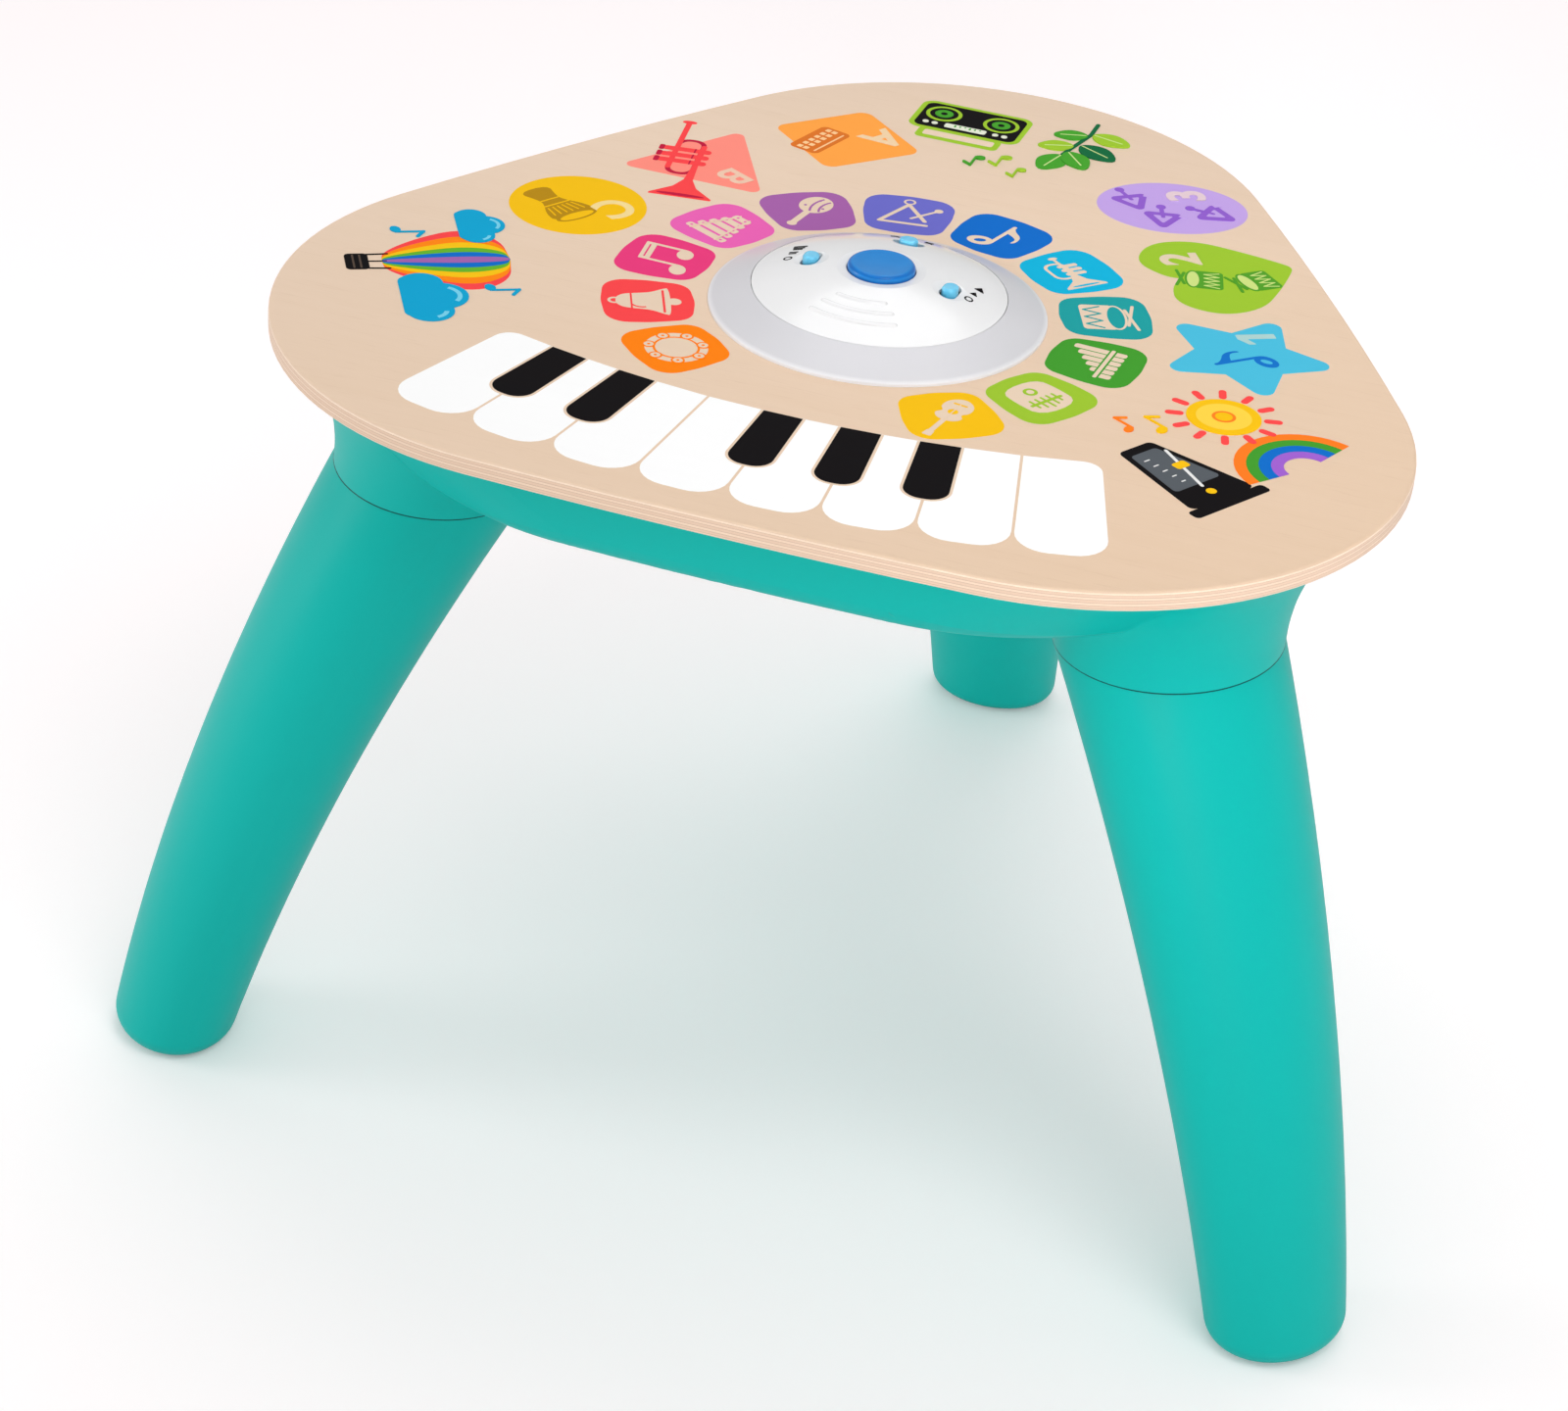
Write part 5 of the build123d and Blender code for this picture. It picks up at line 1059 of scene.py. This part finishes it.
def picture_back(material):
    """A lime radio beside a green sprig."""
    picture = Print("printed_picture_back")
    dark, green, lime = (10, 104, 60), (68, 160, 44), (156, 197, 48)
    middle_x, middle_y = 3, 208
    picture.draw_at((middle_x, middle_y), 180)
    picture.add(lime, plate(25, -1, 54, 33, 6), plate(25, 20, 40, 12, 3))
    picture.add(WOOD, plate(25, 19.4, 34, 6, 1.4))
    picture.add(BLACK, plate(25, -1, 49, 28, 4))
    for x in (11, 39):
        for colour, radius in ((lime, 8.6), (BLACK, 6.8), (green, 4.4), (BLACK, 1.6)):
            picture.add(colour, disc(x, -4, radius))
    picture.add((228, 232, 214), plate(25, 8.2, 20, 4.4, 1),
                *[disc(x, 8.2, 1.5, 12) for x in (6, 10.4, 40, 44.4)])
    picture.add(green, *[bar(18 + 2.4 * index, 7.2, 18 + 2.4 * index, 7.4 + 0.6 * (index % 3), 1.0)
                         for index in range(6)])
    stalk = [(-30, -27), (-30, -14), (-27, 0), (-24, 14)]
    picture.add(dark, *[bar(*stalk[index], *stalk[index + 1], 2.0) for index in range(3)])
    leaves = [(-24, 14, 76, 24, green), (-27, 2, 24, 20, lime), (-28, 0, 152, 25, dark),
              (-30, -12, 20, 19, green), (-30, -14, 166, 23, lime), (-25, 10, 128, 23, green)]
    for x, y, turn, length, colour in leaves:
        picture.draw_at((middle_x - x, middle_y - y), 180 + turn)
        picture.add(colour, leaf(length, length * 0.5))
        picture.add((206, 226, 150), bar(2, 0, length * 0.72, 0, 0.7))
    picture.draw_at((middle_x, middle_y), 180)
    small_note(picture, -2, 31, 2.6, lime)
    small_note(picture, 9, 37, 2.4, green)
    small_note(picture, -12, 41, 2.2, lime)
    picture.finish(material)


def picture_right(material):
    """A dark metronome, a plain yellow sun and a short rainbow."""
    picture = Print("printed_picture_right")
    yellow, orange = (247, 193, 10), (255, 128, 30)
    picture.draw_at((167, -62), 60)
    picture.add(BLACK, rounded([(-44, -24), (-8, -24), (-17, 26), (-35, 26)], 3),
                plate(-26, -27, 42, 6, 2))
    picture.add((86, 92, 98), rounded([(-39, -10), (-13, -10), (-19, 21), (-33, 21)], 2))
    picture.add((232, 232, 230), bar(-26, -12, -17, 17, 1.5),
                *[bar(-31 + 0.2 * index, 15 - 5 * index, -28.5, 15 - 5 * index, 0.7)
                  for index in range(5)])
    picture.add(yellow, plate(-20.6, 5, 7, 5, 1.4), disc(-26, -17, 2.2))
    bows = ((255, 124, 30), (64, 155, 44), (0, 108, 200), (158, 96, 206))
    for index, colour in enumerate(bows):
        picture.add(colour, arc_bar(20, -26, 27 - 5 * index, 8, 172, 5.1))
    sun = 24  # how far it stands from the picture's middle along either axis
    picture.add((250, 74, 74), *[
        bar(sun + 18 * x, sun + 18 * y, sun + 22.5 * x, sun + 22.5 * y, 3.2)
        for x, y, _ in around(12, 1, 15)])
    discs = ((yellow, 15.5, 40), ((250, 210, 70), 11.5, 36), (orange, 5.0, 30), (yellow, 3.6, 30))
    for colour, radius, steps in discs:
        picture.add(colour, disc(sun, sun, radius, steps))
    small_note(picture, -6, 30, 3.0, yellow)
    small_note(picture, -17, 38, 2.6, orange)
    picture.finish(material)


# ---- signs beside the slide switches ----
def print_dome_signs(material):
    signs = Print("printed_dome_signs", on_cap=True)
    for place in ((39.6, -2.0), (-41.6, 0.4)):
        signs.draw_at(place)
        signs.add(BLACK, arc_bar(0, 0, 1.6, 0, 360, 0.75))
    for place, size in (((40.2, 3.8), 2.1), ((41.0, 9.8), 2.7)):
        signs.draw_at(place, -4, size)
        signs.add(BLACK, triangle(1.0, 0.1))
    signs.draw_at((-41.4, 6.4))
    signs.add(BLACK, bar(-1.3, -0.6, 1.3, -0.6, 0.9), bar(-1.6, 1.2, 1.6, 1.2, 0.9))
    signs.draw_at((-40.8, 12.6))
    signs.add(BLACK, bar(-1.7, -1.4, 1.7, -1.4, 1.0), bar(-2.1, 0.5, 2.1, 0.5, 1.1),
              bar(-2.5, 2.6, 2.5, 2.6, 1.2))
    signs.draw_at((-8.5, 48.5))
    signs.add(BLACK, bar(-1.7, -1.0, 0, 0.9, 0.8), bar(1.7, -1.0, 0, 0.9, 0.8))
    signs.draw_at((6.6, 48.8))
    signs.add(BLACK, bar(-1.3, -1.3, 1.3, 1.3, 0.8), bar(-1.3, 1.3, 1.3, -1.3, 0.8))
    signs.finish(material)


# ---- floor and world, in metres ----
FLOOR_SIZE = 12.0
FLOOR_CELLS = 8
FLOOR_GLOW = 0.2  # added to the floor in the camera's sight only
WORLD_LIGHT = 0.56
WORLD_SEEN = 0.94  # a camera that looks past the floor sees the world paler than it shines


def add_floor():
    """A pale floor that shows the table's shadow."""
    finish = Finish("studio_floor")
    camera_ray = finish.node("ShaderNodeLightPath", output="Is Camera Ray")
    tone = finish.noise(2, detail=1)
    colour = finish.mix(tone, srgb(250, 242, 243), srgb(252, 244, 245))
    base = finish.node("ShaderNodeBsdfPrincipled", {}, {
        "Base Color": colour, "Roughness": 0.9, "Specular IOR Level": 0.1})
    glow = finish.node("ShaderNodeEmission", {}, {
        "Color": (1, 1, 1, 1), "Strength": camera_ray * FLOOR_GLOW})
    both = finish.node("ShaderNodeAddShader", {}, {0: base, 1: glow})
    finish.node("ShaderNodeOutputMaterial", {}, {"Surface": both})
    mesh = bmesh.new()
    bmesh.ops.create_grid(
        mesh, x_segments=FLOOR_CELLS, y_segments=FLOOR_CELLS, size=FLOOR_SIZE / 2)
    data = bpy.data.meshes.new("floor")
    mesh.to_mesh(data)
    mesh.free()
    data.materials.append(finish.material)
    floor = add_object("floor", data)


def set_world():
    world = bpy.data.worlds.new("studio")
    world.use_nodes = True
    tree = world.node_tree
    background = tree.nodes["Background"]
    background.inputs["Color"].default_value = (1, 1, 1, 1)
    ray = tree.nodes.new("ShaderNodeLightPath")
    strength = tree.nodes.new("ShaderNodeMapRange")
    strength.inputs["To Min"].default_value = WORLD_LIGHT
    strength.inputs["To Max"].default_value = WORLD_SEEN
    tree.links.new(ray.outputs["Is Camera Ray"], strength.inputs["Value"])
    tree.links.new(strength.outputs["Result"], background.inputs["Strength"])
    bpy.context.scene.world = world
    bpy.context.scene.view_settings.view_transform = "Standard"


# ---- the whole scene ----
add_camera()
for softbox in SOFTBOXES:
    add_softbox(*softbox)
set_world()
add_floor()
finish_cad_nodes()
add_contact_dome()
ink = printed_ink()
for print_motifs in (print_piano, print_small_pads, print_large_pads, picture_left, picture_back,
                     picture_right, print_dome_signs):
    print_motifs(ink)
